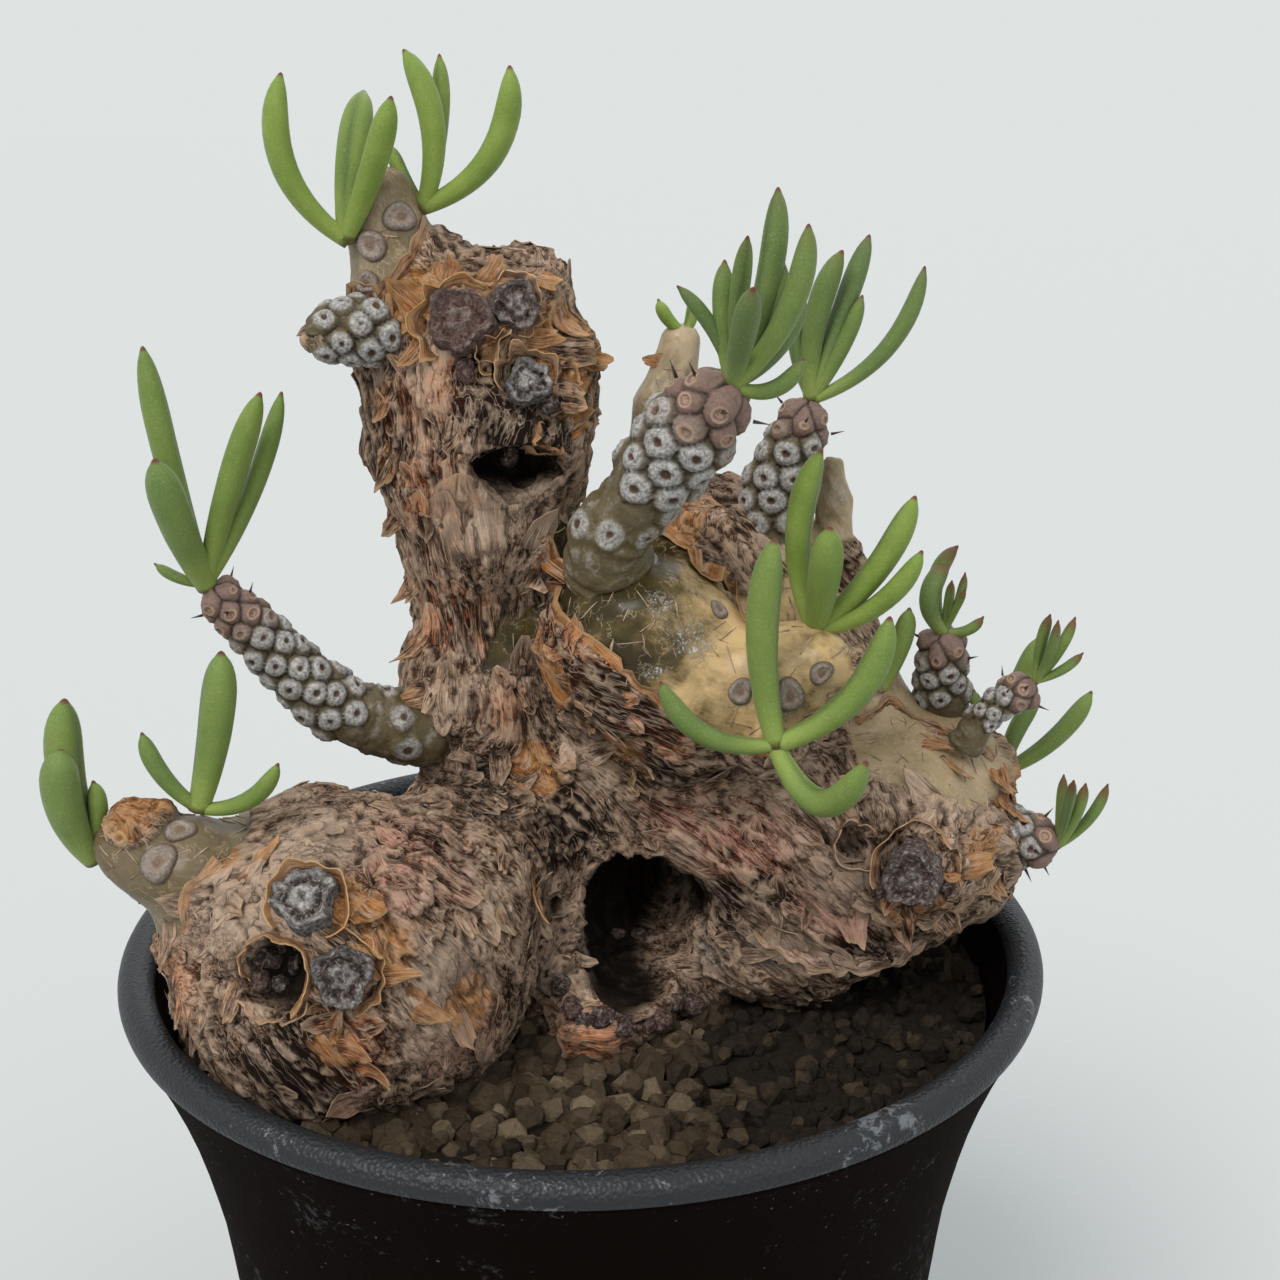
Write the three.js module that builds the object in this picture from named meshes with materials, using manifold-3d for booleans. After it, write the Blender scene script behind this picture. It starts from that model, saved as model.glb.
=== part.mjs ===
// Potted Tylecodon pearsonii: a fat gnarled caudex with knobbly young stems and finger-like
// succulent leaves, rooted in coarse gravel in a round black nursery pot.
// Millimetres, +Z up. The origin is the centre of the pot's foot and the plant faces -Y.
import * as THREE from "three";
import { mergeVertices } from "three/addons/utils/BufferGeometryUtils.js";
import Module from "manifold-3d";

// Pot
const RIM_RADIUS = 60;
const POT_HEIGHT = 100;
const FOOT_RADIUS = 43.5;
const WALL = 2.2;
const LIP_WIDTH = 4;
const LIP_HEIGHT = 3.2;
const POT_SIDES = 30;
const FOOT_PAD_RADIUS = 15;
const FOOT_GROOVE_DEPTH = 2.2;
const FLOOR_TOP = 4.8;
const DRAIN_HOLES = 6;
const DRAIN_HOLE_RADIUS = 3.5;
const DRAIN_CIRCLE_RADIUS = 26;

// Gravel
const SOIL_LEVEL = POT_HEIGHT - 8;
const STONE_RELIEF = 1.5;
const SOIL_SIDES = 42;

// Plant
const SEAT_GAP = 0.35;
const CAUDEX_CELL = 4.9;
const BARK_RELIEF = 1.1;
const FLAP_THICKNESS = 0.9;
const GOLDEN_ANGLE = THREE.MathUtils.degToRad(137.5);

// The caudex is one grown body. Each limb is a chain of round stations [x, y, z, radius].
const LIMBS = {
  leftLobe: [
    [-33, -20, 109, 15], [-28, -23, 106, 19], [-31, -24, 103, 16.5], [-21, -22, 102, 14],
    [-19.5, -18, 109, 14], [-14, -8, 113, 11],
  ],
  leftNeck: [[-40, -24, 113, 10], [-45.5, -25, 119, 6.5], [-49.5, -25, 121, 5.5], [-52, -25, 122, 4.2]],
  trunk: [
    [-3, 4, 106, 16], [-5, 3, 120, 15.5], [-10.5, 2, 131, 12], [-12, 2, 143, 9.5], [-12, 2, 154, 11],
    [-13, 2, 164, 13], [-15, 2, 174, 12], [-20, 1, 183, 7], [-22, 0, 189, 5], [-22.5, 0, 192, 4.5],
  ],
  crown: [[-12, 1, 179, 8], [-6.5, 1, 179.5, 6.8], [-4, 1, 174, 7.2], [-7, -1, 166, 8.5]],
  shoulder: [[2.5, 1, 125, 13.5], [10, -1, 121, 13], [20, -2, 115, 13.5]],
  smoothBulge: [[8, -10, 141, 12], [14.5, -12, 136.5, 10], [22, -14, 137, 8], [27, -15, 140, 6]],
  barkHump: [[7.5, 6, 139, 12], [16, 8, 146, 11], [24.5, 10, 142, 9.5], [31, 10, 134, 8], [40, 8, 118, 10]],
  rightLobe: [
    [25.5, -1, 102, 13], [31, 0, 110, 16.5], [41, 2, 111, 14.5], [47.5, 3, 108.5, 9.5], [49.5, 6, 118, 8],
  ],
  rightKnuckle: [[41, -8, 115, 8.5], [41.5, -12, 114, 6.5]],
  foot: [[-3, -4, 96, 13.5], [2.5, -12, 93.5, 9.5], [13, -6, 89.5, 6]],
  backLobe: [[-13, 13, 104, 13.5], [6, 17, 106, 14], [24, 14, 105, 13]],
};
// Short stems that died back or stayed short, grown together with the caudex.
const SPURS = {
  deadTop: [[9.5, 6, 154, 4.8], [10.5, 7, 167, 4], [12.5, 8, 175, 3]],
  deadSlim: [[33.5, 10, 143, 3.6], [32.5, 10, 154, 2.4], [32, 10, 159, 1.8]],
  sideNub: [[-20, -2, 178, 4.2], [-26, -5, 178.5, 3.2], [-29, -6, 178, 1.8]],
  frontSpur: [[22, -12, 130, 4], [22.8, -19, 132, 3.2], [23, -23.2, 133.6, 2.3]],
  middleSpur: [[24, -12, 137, 5], [27, -14.5, 141.5, 3.8], [27.8, -15.2, 143.6, 2.4]],
};
const HOLLOWS = [
  { centre: [7, -13, 105], radii: [7.5, 17, 9.5] },
  { centre: [13, -12, 106.5], radii: [4.5, 12, 5] },
  { centre: [-33, -41, 114], radii: [4.5, 4, 4] },
  { centre: [-7, -11, 162], radii: [5, 4.5, 3.5] },
  { centre: [37, -18, 118.5], radii: [3.5, 5, 4] },
];
// Dead stubs where old stems broke off: [x, z, radius, height], set on the front of the caudex.
const STUBS = [
  [-29, 120, 3.4, 2.4], [-25, 113.5, 3.2, 2.8], [-13, 180, 3.6, 2], [-5.5, 172.5, 2.6, 2.2],
  [40.5, 115.5, 3.4, 3],
];
// Ringed leaf scars on the smooth skin: [x, z, radius].
const SCARS = [
  [-46.5, 124, 1.8], [-49.5, 120.5, 1.7], [-20.8, 190, 1.5], [-23.5, 188, 1.5], [16, 147, 1.4],
  [-12, 146, 1.3], [4.5, 142, 1.2], [25.5, 138.5, 1.6],
];
// Curled flaps of papery bark on the front: [x, z, heading on the face in degrees, length, width].
const FLAPS = [
  [-36.5, 121, 60, 6, 5], [-22, 118.5, 20, 6, 5], [-31, 110, -80, 6, 3.5], [-20, 112.5, 0, 6, 4.5],
  [-15.5, 108, 20, 5, 4], [-24, 104, -20, 6, 4], [-3, 142, 40, 7, 6], [0, 135, -40, 7, 5],
  [7, 127.5, 30, 6, 4], [-18.5, 181.5, 110, 5, 4], [-10, 184, 60, 5, 4], [0, 176, 20, 7, 4],
  [-1.5, 165.5, 0, 5, 5], [40, 110, -60, 5, 4], [46.5, 115, 10, 6, 4], [33, 118, 130, 5, 4],
];

// Young stems, each a node of its own, as chains of the same stations.
const STEMS = {
  upperMain: [[4, -11, 151, 5.6], [4, -14, 155.5, 4.7], [7.5, -16, 161.5, 4.2], [13, -18, 169, 4.8], [16.5, -20, 173.5, 3.2]],
  upperRight: [[23.5, 7, 149.5, 4.8], [25, 6, 157, 4], [27, 5, 163.5, 3.2], [28.2, 5, 167, 2.3]],
  leftMid: [
    [-17, -1, 127, 5.4], [-23, -6, 129.8, 4.6], [-29, -9, 132.8, 3.8], [-34.5, -11, 138.8, 3.1],
    [-39, -12, 144.6, 2.7], [-42.3, -13, 148.6, 2.1],
  ],
  rightUpper: [[48, 9, 124, 4], [47, 6.5, 131.5, 3], [46.8, 5, 137, 2.6]],
  rightThin: [[49, -1, 125, 2.4], [52, -2, 130, 1.6], [56, -2, 133, 2.2]],
  rightEnd: [[52, 2, 112, 4.2], [56.5, 1, 111.3, 3.4], [60.5, 0, 111, 2.8]],
};
// Leaf tufts. Each leaf is [heading, lean from upright, length, bow, width]: it leans and bows
// towards its heading, in degrees from +X.
const TUFTS = {
  topLeft: {
    base: [-26.5, -3.5, 189],
    leaves: [[195, 20, 19, 3.5, 3.3], [80, 28, 18, -1.5, 3.6], [-30, 25, 17, 0.5, 3.1]],
  },
  topRight: {
    base: [-18, -0.5, 192.5],
    leaves: [[-20, -5, 17, 2.5, 3.1], [60, 15, 17, 1.5, 2.2], [0, 35, 18.5, 3.5, 3.4], [160, 30, 7.5, 0.5, 1.8]],
  },
  leftMid: {
    stem: "leftMid",
    leaves: [[190, 10, 28, 0.5, 3.3], [240, 22, 17, 0.5, 4.2], [-10, 20, 24, -0.5, 3.3], [20, 25, 24, 1, 2.5],
      [190, 65, 6, 0.5, 1.4]],
  },
  leftEnd: {
    base: [-56, -25, 120.5],
    leaves: [[170, 5, 19, 1.5, 4.4], [215, 10, 14, 1.5, 4.7], [20, 5, 9, 0.5, 2.4]],
  },
  leftStub: {
    base: [-43.5, -24.5, 126.5],
    leaves: [[20, 12, 18.5, 0.5, 4.3], [200, 30, 11, 1, 2.3], [-10, 60, 11.5, 2, 2.3]],
  },
  upperMain: {
    stem: "upperMain",
    leaves: [[30, 15, 21, 1.5, 2.9], [190, 30, 12, -1, 1.8], [200, 5, 13, 0.5, 2.5], [100, -20, 17, 1, 2],
      [-80, 38, 14, 0, 2.8], [-10, 25, 18.5, 2, 3], [25, 25, 14, 1.5, 2.3], [35, 50, 13, 1.5, 2.2],
      [0, 72, 8, 2, 2.1]],
  },
  upperBack: { base: [13, 7.5, 176.5], leaves: [[190, 40, 5, 0.5, 1.8], [40, 20, 4, 0.5, 1.6]] },
  upperRight: {
    stem: "upperRight",
    leaves: [[-20, 10, 18, -1.5, 3.2], [20, 20, 20.5, 0, 2.8], [0, 25, 13.5, 0.5, 2.3], [0, 40, 20.5, 3, 2.4],
      [160, 10, 12.5, 1, 2.2]],
  },
  middle: {
    base: [28, -15.5, 145.2],
    leaves: [[150, 0, 21, 2.5, 3.3], [-80, 20, 14, 0.5, 3.7], [0, 35, 19, 1.5, 3.3], [-15, 50, 15.5, 2, 2.7]],
  },
  front: {
    base: [23.1, -24.8, 134.6],
    leaves: [[165, 2, 23.5, 1.5, 4], [190, 60, 15.5, 3, 2.7], [0, 40, 19, 3, 3.6], [-40, 88, 12, 6, 3.5]],
  },
  behind: { base: [36.5, 12, 140.5], leaves: [[150, 10, 8.5, 0.5, 1.8], [-80, 10, 6.5, 0, 1.9], [20, 35, 7, 0.5, 1.9]] },
  rightUpper: {
    stem: "rightUpper",
    leaves: [[160, -5, 11, 2, 2.4], [215, 0, 9, 3, 2.6], [-10, 70, 5, 1, 1.5], [90, -25, 8, 0, 1.2],
      [20, 20, 7.5, 0.5, 1.2], [-60, 30, 7, 0, 1.2]],
  },
  rightLow: { base: [38.7, 3.3, 131.3], leaves: [[10, 18, 10.8, 0.5, 2.8], [200, 35, 4, 0.5, 1.6]] },
  rightThin: {
    stem: "rightThin",
    leaves: [[120, -10, 9, 0.5, 1.5], [-60, 20, 9, 0.5, 1.3], [10, 30, 9, 0.5, 1.5], [-10, 55, 6.5, 0.5, 1.3]],
  },
  rightBehind: { base: [53.5, 4.5, 125.5], leaves: [[5, 25, 13, 0.5, 2.6], [150, 30, 5, 0.5, 1.6]] },
  rightSide: { base: [56.5, 9, 117.5], leaves: [[0, 45, 15.5, 1.5, 2.7], [35, 32, 11, -1, 2.5]] },
  rightEnd: {
    stem: "rightEnd",
    leaves: [[150, 0, 9.5, 0, 1.5], [90, -25, 12, 0, 1.5], [-50, 20, 10, 0.5, 1.7], [0, 35, 10, 1, 1.6]],
  },
};

const wasm = await Module();
wasm.setup();

function randomFrom(seed) {
  let state = seed >>> 0;
  return () => {
    state = (state + 0x6d2b79f5) >>> 0;
    let t = Math.imul(state ^ (state >>> 15), 1 | state);
    t = (t + Math.imul(t ^ (t >>> 7), 61 | t)) ^ t;
    return ((t ^ (t >>> 14)) >>> 0) / 4294967296;
  };
}

function solidOf(geometry) {
  const bare = geometry.index ? geometry.clone() : geometry;
  for (const name of Object.keys(bare.attributes)) if (name !== "position") bare.deleteAttribute(name);
  const merged = mergeVertices(bare, 1e-4);
  const index = [];
  for (let i = 0; i < merged.index.count; i += 3) {
    const [a, b, c] = [0, 1, 2].map((k) => merged.index.getX(i + k));
    if (a !== b && b !== c && c !== a) index.push(a, b, c);
  }
  return new wasm.Manifold(new wasm.Mesh({
    numProp: 3,
    vertProperties: new Float32Array(merged.attributes.position.array),
    triVerts: new Uint32Array(index),
  }));
}

function geometryOf(solid) {
  const mesh = solid.getMesh();
  const geometry = new THREE.BufferGeometry();
  const places = new Float32Array(mesh.numVert * 3);
  for (let i = 0; i < mesh.numVert; i++) {
    for (let k = 0; k < 3; k++) places[3 * i + k] = mesh.vertProperties[i * mesh.numProp + k];
  }
  geometry.setAttribute("position", new THREE.BufferAttribute(places, 3));
  geometry.setIndex(new THREE.BufferAttribute(new Uint32Array(mesh.triVerts), 1));
  return geometry;
}

function joined(geometries) {
  return geometries.map(solidOf).reduce((whole, piece) => whole.add(piece));
}

function largestBody(solid) {
  return solid.decompose().reduce((best, body) => (body.volume() > best.volume() ? body : best));
}

// Smooth noise in -1..1 with features about one unit wide.
function noise(x, y, z) {
  const corner = (i, j, k) => {
    let h = Math.imul(i, 374761393) ^ Math.imul(j, 668265263) ^ Math.imul(k, 1274126177);
    h = Math.imul(h ^ (h >>> 13), 1103515245);
    return ((h ^ (h >>> 16)) >>> 0) / 2147483648 - 1;
  };
  const [i, j, k] = [x, y, z].map(Math.floor);
  const [u, v, w] = [x - i, y - j, z - k].map((t) => t * t * (3 - 2 * t));
  const mix = THREE.MathUtils.lerp;
  const edge = (dj, dk) => mix(corner(i, j + dj, k + dk), corner(i + 1, j + dj, k + dk), u);
  return mix(mix(edge(0, 0), edge(1, 0), v), mix(edge(0, 1), edge(1, 1), v), w);
}

function smoothMin(a, b, blend) {
  const h = Math.max(blend - Math.abs(a - b), 0) / blend;
  return Math.min(a, b) - (h * h * blend) / 4;
}

function limbDistance(stations, x, y, z) {
  let nearest = Infinity;
  for (let i = 0; i + 1 < stations.length; i++) {
    const [ax, ay, az, ar] = stations[i];
    const [bx, by, bz, br] = stations[i + 1];
    const [dx, dy, dz] = [bx - ax, by - ay, bz - az];
    const along = ((x - ax) * dx + (y - ay) * dy + (z - az) * dz) / (dx * dx + dy * dy + dz * dz);
    const t = THREE.MathUtils.clamp(along, 0, 1);
    const away = Math.hypot(x - ax - t * dx, y - ay - t * dy, z - az - t * dz);
    nearest = smoothMin(nearest, away - ar - t * (br - ar), 2);
  }
  return nearest;
}

function hollowDistance({ centre, radii }, x, y, z) {
  const scaled = Math.hypot((x - centre[0]) / radii[0], (y - centre[1]) / radii[1], (z - centre[2]) / radii[2]);
  return (scaled - 1) * Math.min(...radii);
}

// Signed distance to the caudex, about 1 mm per mm near its skin, negative inside.
function caudexDistance(x, y, z) {
  let skin = Infinity;
  for (const stations of Object.values(LIMBS)) skin = smoothMin(skin, limbDistance(stations, x, y, z), 4);
  const swirl = noise(x / 11, y / 11, z / 9) + 0.55 * noise(x / 6 + 7, y / 6, z / 4.5);
  skin += BARK_RELIEF * swirl;
  for (const hollow of HOLLOWS) skin = -smoothMin(-skin, hollowDistance(hollow, x, y, z), 1.5);
  return skin;
}

// A face of the grid whose corners alternate in and out would pinch the skin, so its faintest
// corner changes sides.
function unpinch(value, size, at) {
  const planes = [[[1, 0, 0], [0, 1, 0]], [[0, 1, 0], [0, 0, 1]], [[0, 0, 1], [1, 0, 0]]];
  const passes = 6;
  for (let pass = 0; pass < passes; pass++) {
    for (let k = 0; k + 1 < size[2]; k++) {
      for (let j = 0; j + 1 < size[1]; j++) {
        for (let i = 0; i + 1 < size[0]; i++) {
          for (const [u, v] of planes) {
            const face = [
              at(i, j, k), at(i + u[0], j + u[1], k + u[2]),
              at(i + u[0] + v[0], j + u[1] + v[1], k + u[2] + v[2]), at(i + v[0], j + v[1], k + v[2]),
            ];
            const [a, b, c, d] = face.map((n) => value[n] < 0);
            if (a === b || a !== c || b !== d) continue;
            const faint = face.reduce((best, n) => (Math.abs(value[n]) < Math.abs(value[best]) ? n : best));
            value[faint] = value[faint] < 0 ? 0.2 : -0.2;
          }
        }
      }
    }
  }
}

// Closed mesh of a field's level set: one vertex in each cell the skin crosses, one quad for
// each grid edge it crosses.
function skinOf(field, low, high, cell, level) {
  const size = low.map((v, k) => Math.ceil((high[k] - v) / cell) + 1);
  const at = (i, j, k) => (k * size[1] + j) * size[0] + i;
  const value = new Float32Array(size[0] * size[1] * size[2]);
  for (let k = 0; k < size[2]; k++) {
    for (let j = 0; j < size[1]; j++) {
      for (let i = 0; i < size[0]; i++) {
        value[at(i, j, k)] = field(low[0] + i * cell, low[1] + j * cell, low[2] + k * cell) - level;
      }
    }
  }
  unpinch(value, size, at);
  const corners = [0, 1, 2, 3, 4, 5, 6, 7].map((n) => [n & 1, (n >> 1) & 1, n >> 2]);
  const places = [];
  const vertexOf = new Map();
  const vertex = (i, j, k) => {
    const key = at(i, j, k);
    if (vertexOf.has(key)) return vertexOf.get(key);
    const sum = [0, 0, 0];
    let crossings = 0;
    for (let a = 0; a < 8; a++) {
      for (let b = a + 1; b < 8; b++) {
        const step = corners[b].map((v, n) => v - corners[a][n]);
        if (Math.abs(step[0]) + Math.abs(step[1]) + Math.abs(step[2]) !== 1) continue;
        const va = value[at(i + corners[a][0], j + corners[a][1], k + corners[a][2])];
        const vb = value[at(i + corners[b][0], j + corners[b][1], k + corners[b][2])];
        if (va < 0 === vb < 0) continue;
        const t = va / (va - vb);
        for (let n = 0; n < 3; n++) sum[n] += corners[a][n] + t * step[n];
        crossings += 1;
      }
    }
    const place = sum.map((v, n) => low[n] + ([i, j, k][n] + v / crossings) * cell);
    places.push(...place);
    vertexOf.set(key, places.length / 3 - 1);
    return places.length / 3 - 1;
  };
  const index = [];
  const quad = (a, b, c, d, inside) => {
    if (inside) index.push(a, b, c, a, c, d);
    else index.push(a, c, b, a, d, c);
  };
  for (let k = 1; k < size[2] - 1; k++) {
    for (let j = 1; j < size[1] - 1; j++) {
      for (let i = 1; i < size[0] - 1; i++) {
        const here = value[at(i, j, k)] < 0;
        if (here !== value[at(i + 1, j, k)] < 0) {
          quad(vertex(i, j - 1, k - 1), vertex(i, j, k - 1), vertex(i, j, k), vertex(i, j - 1, k), here);
        }
        if (here !== value[at(i, j + 1, k)] < 0) {
          quad(vertex(i - 1, j, k - 1), vertex(i - 1, j, k), vertex(i, j, k), vertex(i, j, k - 1), here);
        }
        if (here !== value[at(i, j, k + 1)] < 0) {
          quad(vertex(i - 1, j - 1, k), vertex(i, j - 1, k), vertex(i, j, k), vertex(i - 1, j, k), here);
        }
      }
    }
  }
  const geometry = new THREE.BufferGeometry();
  geometry.setAttribute("position", new THREE.Float32BufferAttribute(places, 3));
  geometry.setIndex(index);
  return geometry;
}

// Closed tube through rings of points, with a point or a flat fan at each end.
function tubeThrough(rings) {
  const sides = rings[0].length;
  const places = rings.flat();
  const middle = (ring) => ring.reduce((sum, p) => sum.add(p), new THREE.Vector3()).divideScalar(sides);
  places.push(middle(rings[0]), middle(rings[rings.length - 1]));
  const index = [];
  for (let r = 0; r + 1 < rings.length; r++) {
    for (let s = 0; s < sides; s++) {
      const [a, b] = [r * sides + s, r * sides + ((s + 1) % sides)];
      index.push(a, b, b + sides, a, b + sides, a + sides);
    }
  }
  const [first, last] = [places.length - 2, places.length - 1];
  const top = (rings.length - 1) * sides;
  for (let s = 0; s < sides; s++) {
    index.push(first, (s + 1) % sides, s, last, top + s, top + ((s + 1) % sides));
  }
  const geometry = new THREE.BufferGeometry().setFromPoints(places);
  geometry.setIndex(index);
  return geometry;
}

// Rings of a section [across, through] around a curve, its width kept square to `across`.
function ringsAlong(curve, steps, across, section) {
  const rings = [];
  for (let n = 0; n <= steps; n++) {
    const t = n / steps;
    const centre = curve.getPoint(t);
    const tangent = curve.getTangent(t).normalize();
    const through = new THREE.Vector3().crossVectors(tangent, across).normalize();
    const wide = new THREE.Vector3().crossVectors(through, tangent).normalize();
    rings.push(section(t).map(([u, v]) => centre.clone().addScaledVector(wide, u).addScaledVector(through, v)));
  }
  return rings;
}

function circle(sides, radius, squash = 1) {
  return Array.from({ length: sides }, (_, s) => {
    const angle = (2 * Math.PI * s) / sides;
    return [radius * Math.cos(angle), radius * squash * Math.sin(angle)];
  });
}

function headingVector(degrees) {
  const angle = THREE.MathUtils.degToRad(degrees);
  return new THREE.Vector3(Math.cos(angle), Math.sin(angle), 0);
}

// A fleshy finger-shaped leaf: narrow at its root, fullest past the middle, with a blunt tip.
function leaf(base, [heading, lean, length, bow, width]) {
  const out = headingVector(heading);
  const angle = THREE.MathUtils.degToRad(lean);
  const up = new THREE.Vector3(0, 0, 1);
  const chord = out.clone().multiplyScalar(Math.sin(angle)).addScaledVector(up, Math.cos(angle));
  const sag = out.clone().multiplyScalar(Math.cos(angle)).addScaledVector(up, -Math.sin(angle));
  const root = base.clone().addScaledVector(chord, -0.5);
  const tip = base.clone().addScaledVector(chord, length);
  const bend = base.clone().addScaledVector(chord, length / 2).addScaledVector(sag, 2 * bow);
  const curve = new THREE.QuadraticBezierCurve3(root, bend, tip);
  const across = new THREE.Vector3(-out.y, out.x, 0);
  const fullness = (t) => (t < 0.6 ? 0.62 + 0.38 * Math.sin((t / 0.6) * (Math.PI / 2))
    : Math.sqrt(Math.max(1 - ((t - 0.6) / 0.42) ** 2, 0.02)));
  const steps = length > 12 ? 4 : 3;
  return tubeThrough(ringsAlong(curve, steps, across, (t) => circle(5, (width / 2) * fullness(t), 0.9)));
}

function stemCurve(stations) {
  return new THREE.CatmullRomCurve3(stations.map(([x, y, z]) => new THREE.Vector3(x, y, z)), false, "centripetal");
}

function stemRadius(stations, t) {
  const place = t * (stations.length - 1);
  const i = Math.min(Math.floor(place), stations.length - 2);
  return THREE.MathUtils.lerp(stations[i][3], stations[i + 1][3], place - i);
}

// Round stem through its stations, domed at the tip and grown all over by `grow`.
function stemTube(stations, grow) {
  const curve = stemCurve(stations);
  const steps = 2 * (stations.length - 1);
  const across = new THREE.Vector3(0.05, 1, 0.1).normalize();
  const rings = ringsAlong(curve, steps, across, (t) => circle(7, stemRadius(stations, t) + grow));
  const tip = curve.getPoint(1);
  const tangent = curve.getTangent(1).normalize();
  const dome = rings[rings.length - 1].map((p) => p.clone().lerp(tip, 0.45).addScaledVector(tangent, 0.8 + grow));
  return tubeThrough([...rings, dome]);
}

// Blunt leaf-scar cushions wound round the stem at the golden angle, up to its tip.
function tubercles(stations, name) {
  const curve = stemCurve(stations);
  const random = randomFrom(name.length * 977 + stations.length);
  const length = curve.getLength();
  const knobs = [];
  for (let n = 0, along = 3.5; along < length - 1.6; n++) {
    const t = along / length;
    const radius = stemRadius(stations, t);
    const size = 0.3 * radius + 0.8;
    const tangent = curve.getTangent(t).normalize();
    const side = new THREE.Vector3(0.05, 1, 0.1).cross(tangent).normalize();
    const outward = side.applyAxisAngle(tangent, n * GOLDEN_ANGLE);
    const knob = new THREE.CylinderGeometry(0.6 * size, size, 2.1, 5);
    const lift = new THREE.Matrix4().makeTranslation(0, 0.25, 0);
    const turn = new THREE.Quaternion().setFromUnitVectors(new THREE.Vector3(0, 1, 0), outward);
    const seat = curve.getPoint(t).addScaledVector(outward, radius - 0.35);
    knob.applyMatrix4(new THREE.Matrix4().compose(seat, turn, new THREE.Vector3(1, 1, 1)).multiply(lift));
    knobs.push(knob);
    along += (1.4 * size * size) / radius + 0.2 * random();
  }
  return knobs;
}

function surfaceNormal(x, y, z) {
  const h = 0.4;
  return new THREE.Vector3(
    caudexDistance(x + h, y, z) - caudexDistance(x - h, y, z),
    caudexDistance(x, y + h, z) - caudexDistance(x, y - h, z),
    caudexDistance(x, y, z + h) - caudexDistance(x, y, z - h),
  ).normalize();
}

// The point and outward direction of the caudex's front skin at this x and z.
function frontSkin(x, z) {
  let y = -60;
  while (y < 20 && caudexDistance(x, y, z) > 0.05) y += Math.max(0.5 * caudexDistance(x, y, z), 0.03);
  return { place: new THREE.Vector3(x, y, z), outward: surfaceNormal(x, y, z) };
}

function onSkin(geometry, { place, outward }) {
  const turn = new THREE.Quaternion().setFromUnitVectors(new THREE.Vector3(0, 1, 0), outward);
  return geometry.applyMatrix4(new THREE.Matrix4().compose(place, turn, new THREE.Vector3(1, 1, 1)));
}

function deadStub([x, z, radius, height]) {
  const sunk = 2.5;
  const profile = [
    [0, -sunk], [radius * 1.15, -sunk], [radius * 1.05, 0], [radius, height], [radius * 0.72, height + 0.2],
    [radius * 0.6, height - 0.7], [0, height - 0.9],
  ].map(([r, h]) => new THREE.Vector2(r, h));
  return onSkin(new THREE.LatheGeometry(profile, 7), frontSkin(x, z));
}

function leafScar([x, z, radius]) {
  const profile = [[0, -1.2], [radius, -1.2], [radius, 0.3], [radius * 0.72, 0.75], [radius * 0.5, 0.35], [0, 0.3]]
    .map(([r, h]) => new THREE.Vector2(r, h));
  return onSkin(new THREE.LatheGeometry(profile, 6), frontSkin(x, z));
}

// A bent plate of bark, rooted in the skin and curling away from it at its far end.
function barkFlap([x, z, heading, length, width]) {
  const { place, outward } = frontSkin(x, z);
  const face = new THREE.Vector3(1, 0, 0).addScaledVector(outward, -outward.x).normalize();
  const along = face.applyAxisAngle(outward, -THREE.MathUtils.degToRad(heading) * Math.sign(outward.y || -1));
  const root = place.clone().addScaledVector(outward, -1.4).addScaledVector(along, -0.35 * length);
  const bend = place.clone().addScaledVector(outward, 0.9).addScaledVector(along, 0.2 * length);
  const end = place.clone().addScaledVector(outward, 2.2).addScaledVector(along, 0.62 * length);
  const across = new THREE.Vector3().crossVectors(outward, along).normalize();
  const half = FLAP_THICKNESS / 2;
  const plate = (t) => {
    const w = (width / 2) * (1 - 0.45 * t * t);
    return [[w, -half], [w, half], [-w, half], [-w, -half]];
  };
  return tubeThrough(ringsAlong(new THREE.QuadraticBezierCurve3(root, bend, end), 2, across, plate));
}

const CAUDEX_LOW = [-64, -52, 72];
const CAUDEX_HIGH = [66, 40, 204];

function caudexSkin(level) {
  return skinOf(caudexDistance, CAUDEX_LOW, CAUDEX_HIGH, CAUDEX_CELL, level);
}

function spurs(grow) {
  return Object.values(SPURS).map((stations) => stemTube(stations, grow));
}

function caudex() {
  const details = [...STUBS.map(deadStub), ...SCARS.map(leafScar), ...FLAPS.map(barkFlap)];
  return largestBody(joined([caudexSkin(0), ...spurs(0), ...tubercles(SPURS.sideNub, "sideNub"), ...details]));
}

function youngStem(name, caudexCut) {
  const stations = STEMS[name];
  return largestBody(joined([stemTube(stations, 0), ...tubercles(stations, name)]).subtract(caudexCut));
}

// The leaves of one tuft, joined at a small growing point and cut clear of what bears them.
function leafTuft({ base, stem, leaves }, bearer) {
  let foot = base && new THREE.Vector3(...base);
  if (stem) {
    const curve = stemCurve(STEMS[stem]);
    foot = curve.getPoint(1).addScaledVector(curve.getTangent(1).normalize(), 1.9);
  }
  const widest = Math.max(...leaves.map((row) => row[4]));
  const core = new THREE.OctahedronGeometry(0.42 * widest + 0.9, 0);
  core.translate(foot.x, foot.y, foot.z);
  return largestBody(joined([core, ...leaves.map((row) => leaf(foot, row))]).subtract(bearer));
}

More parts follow.
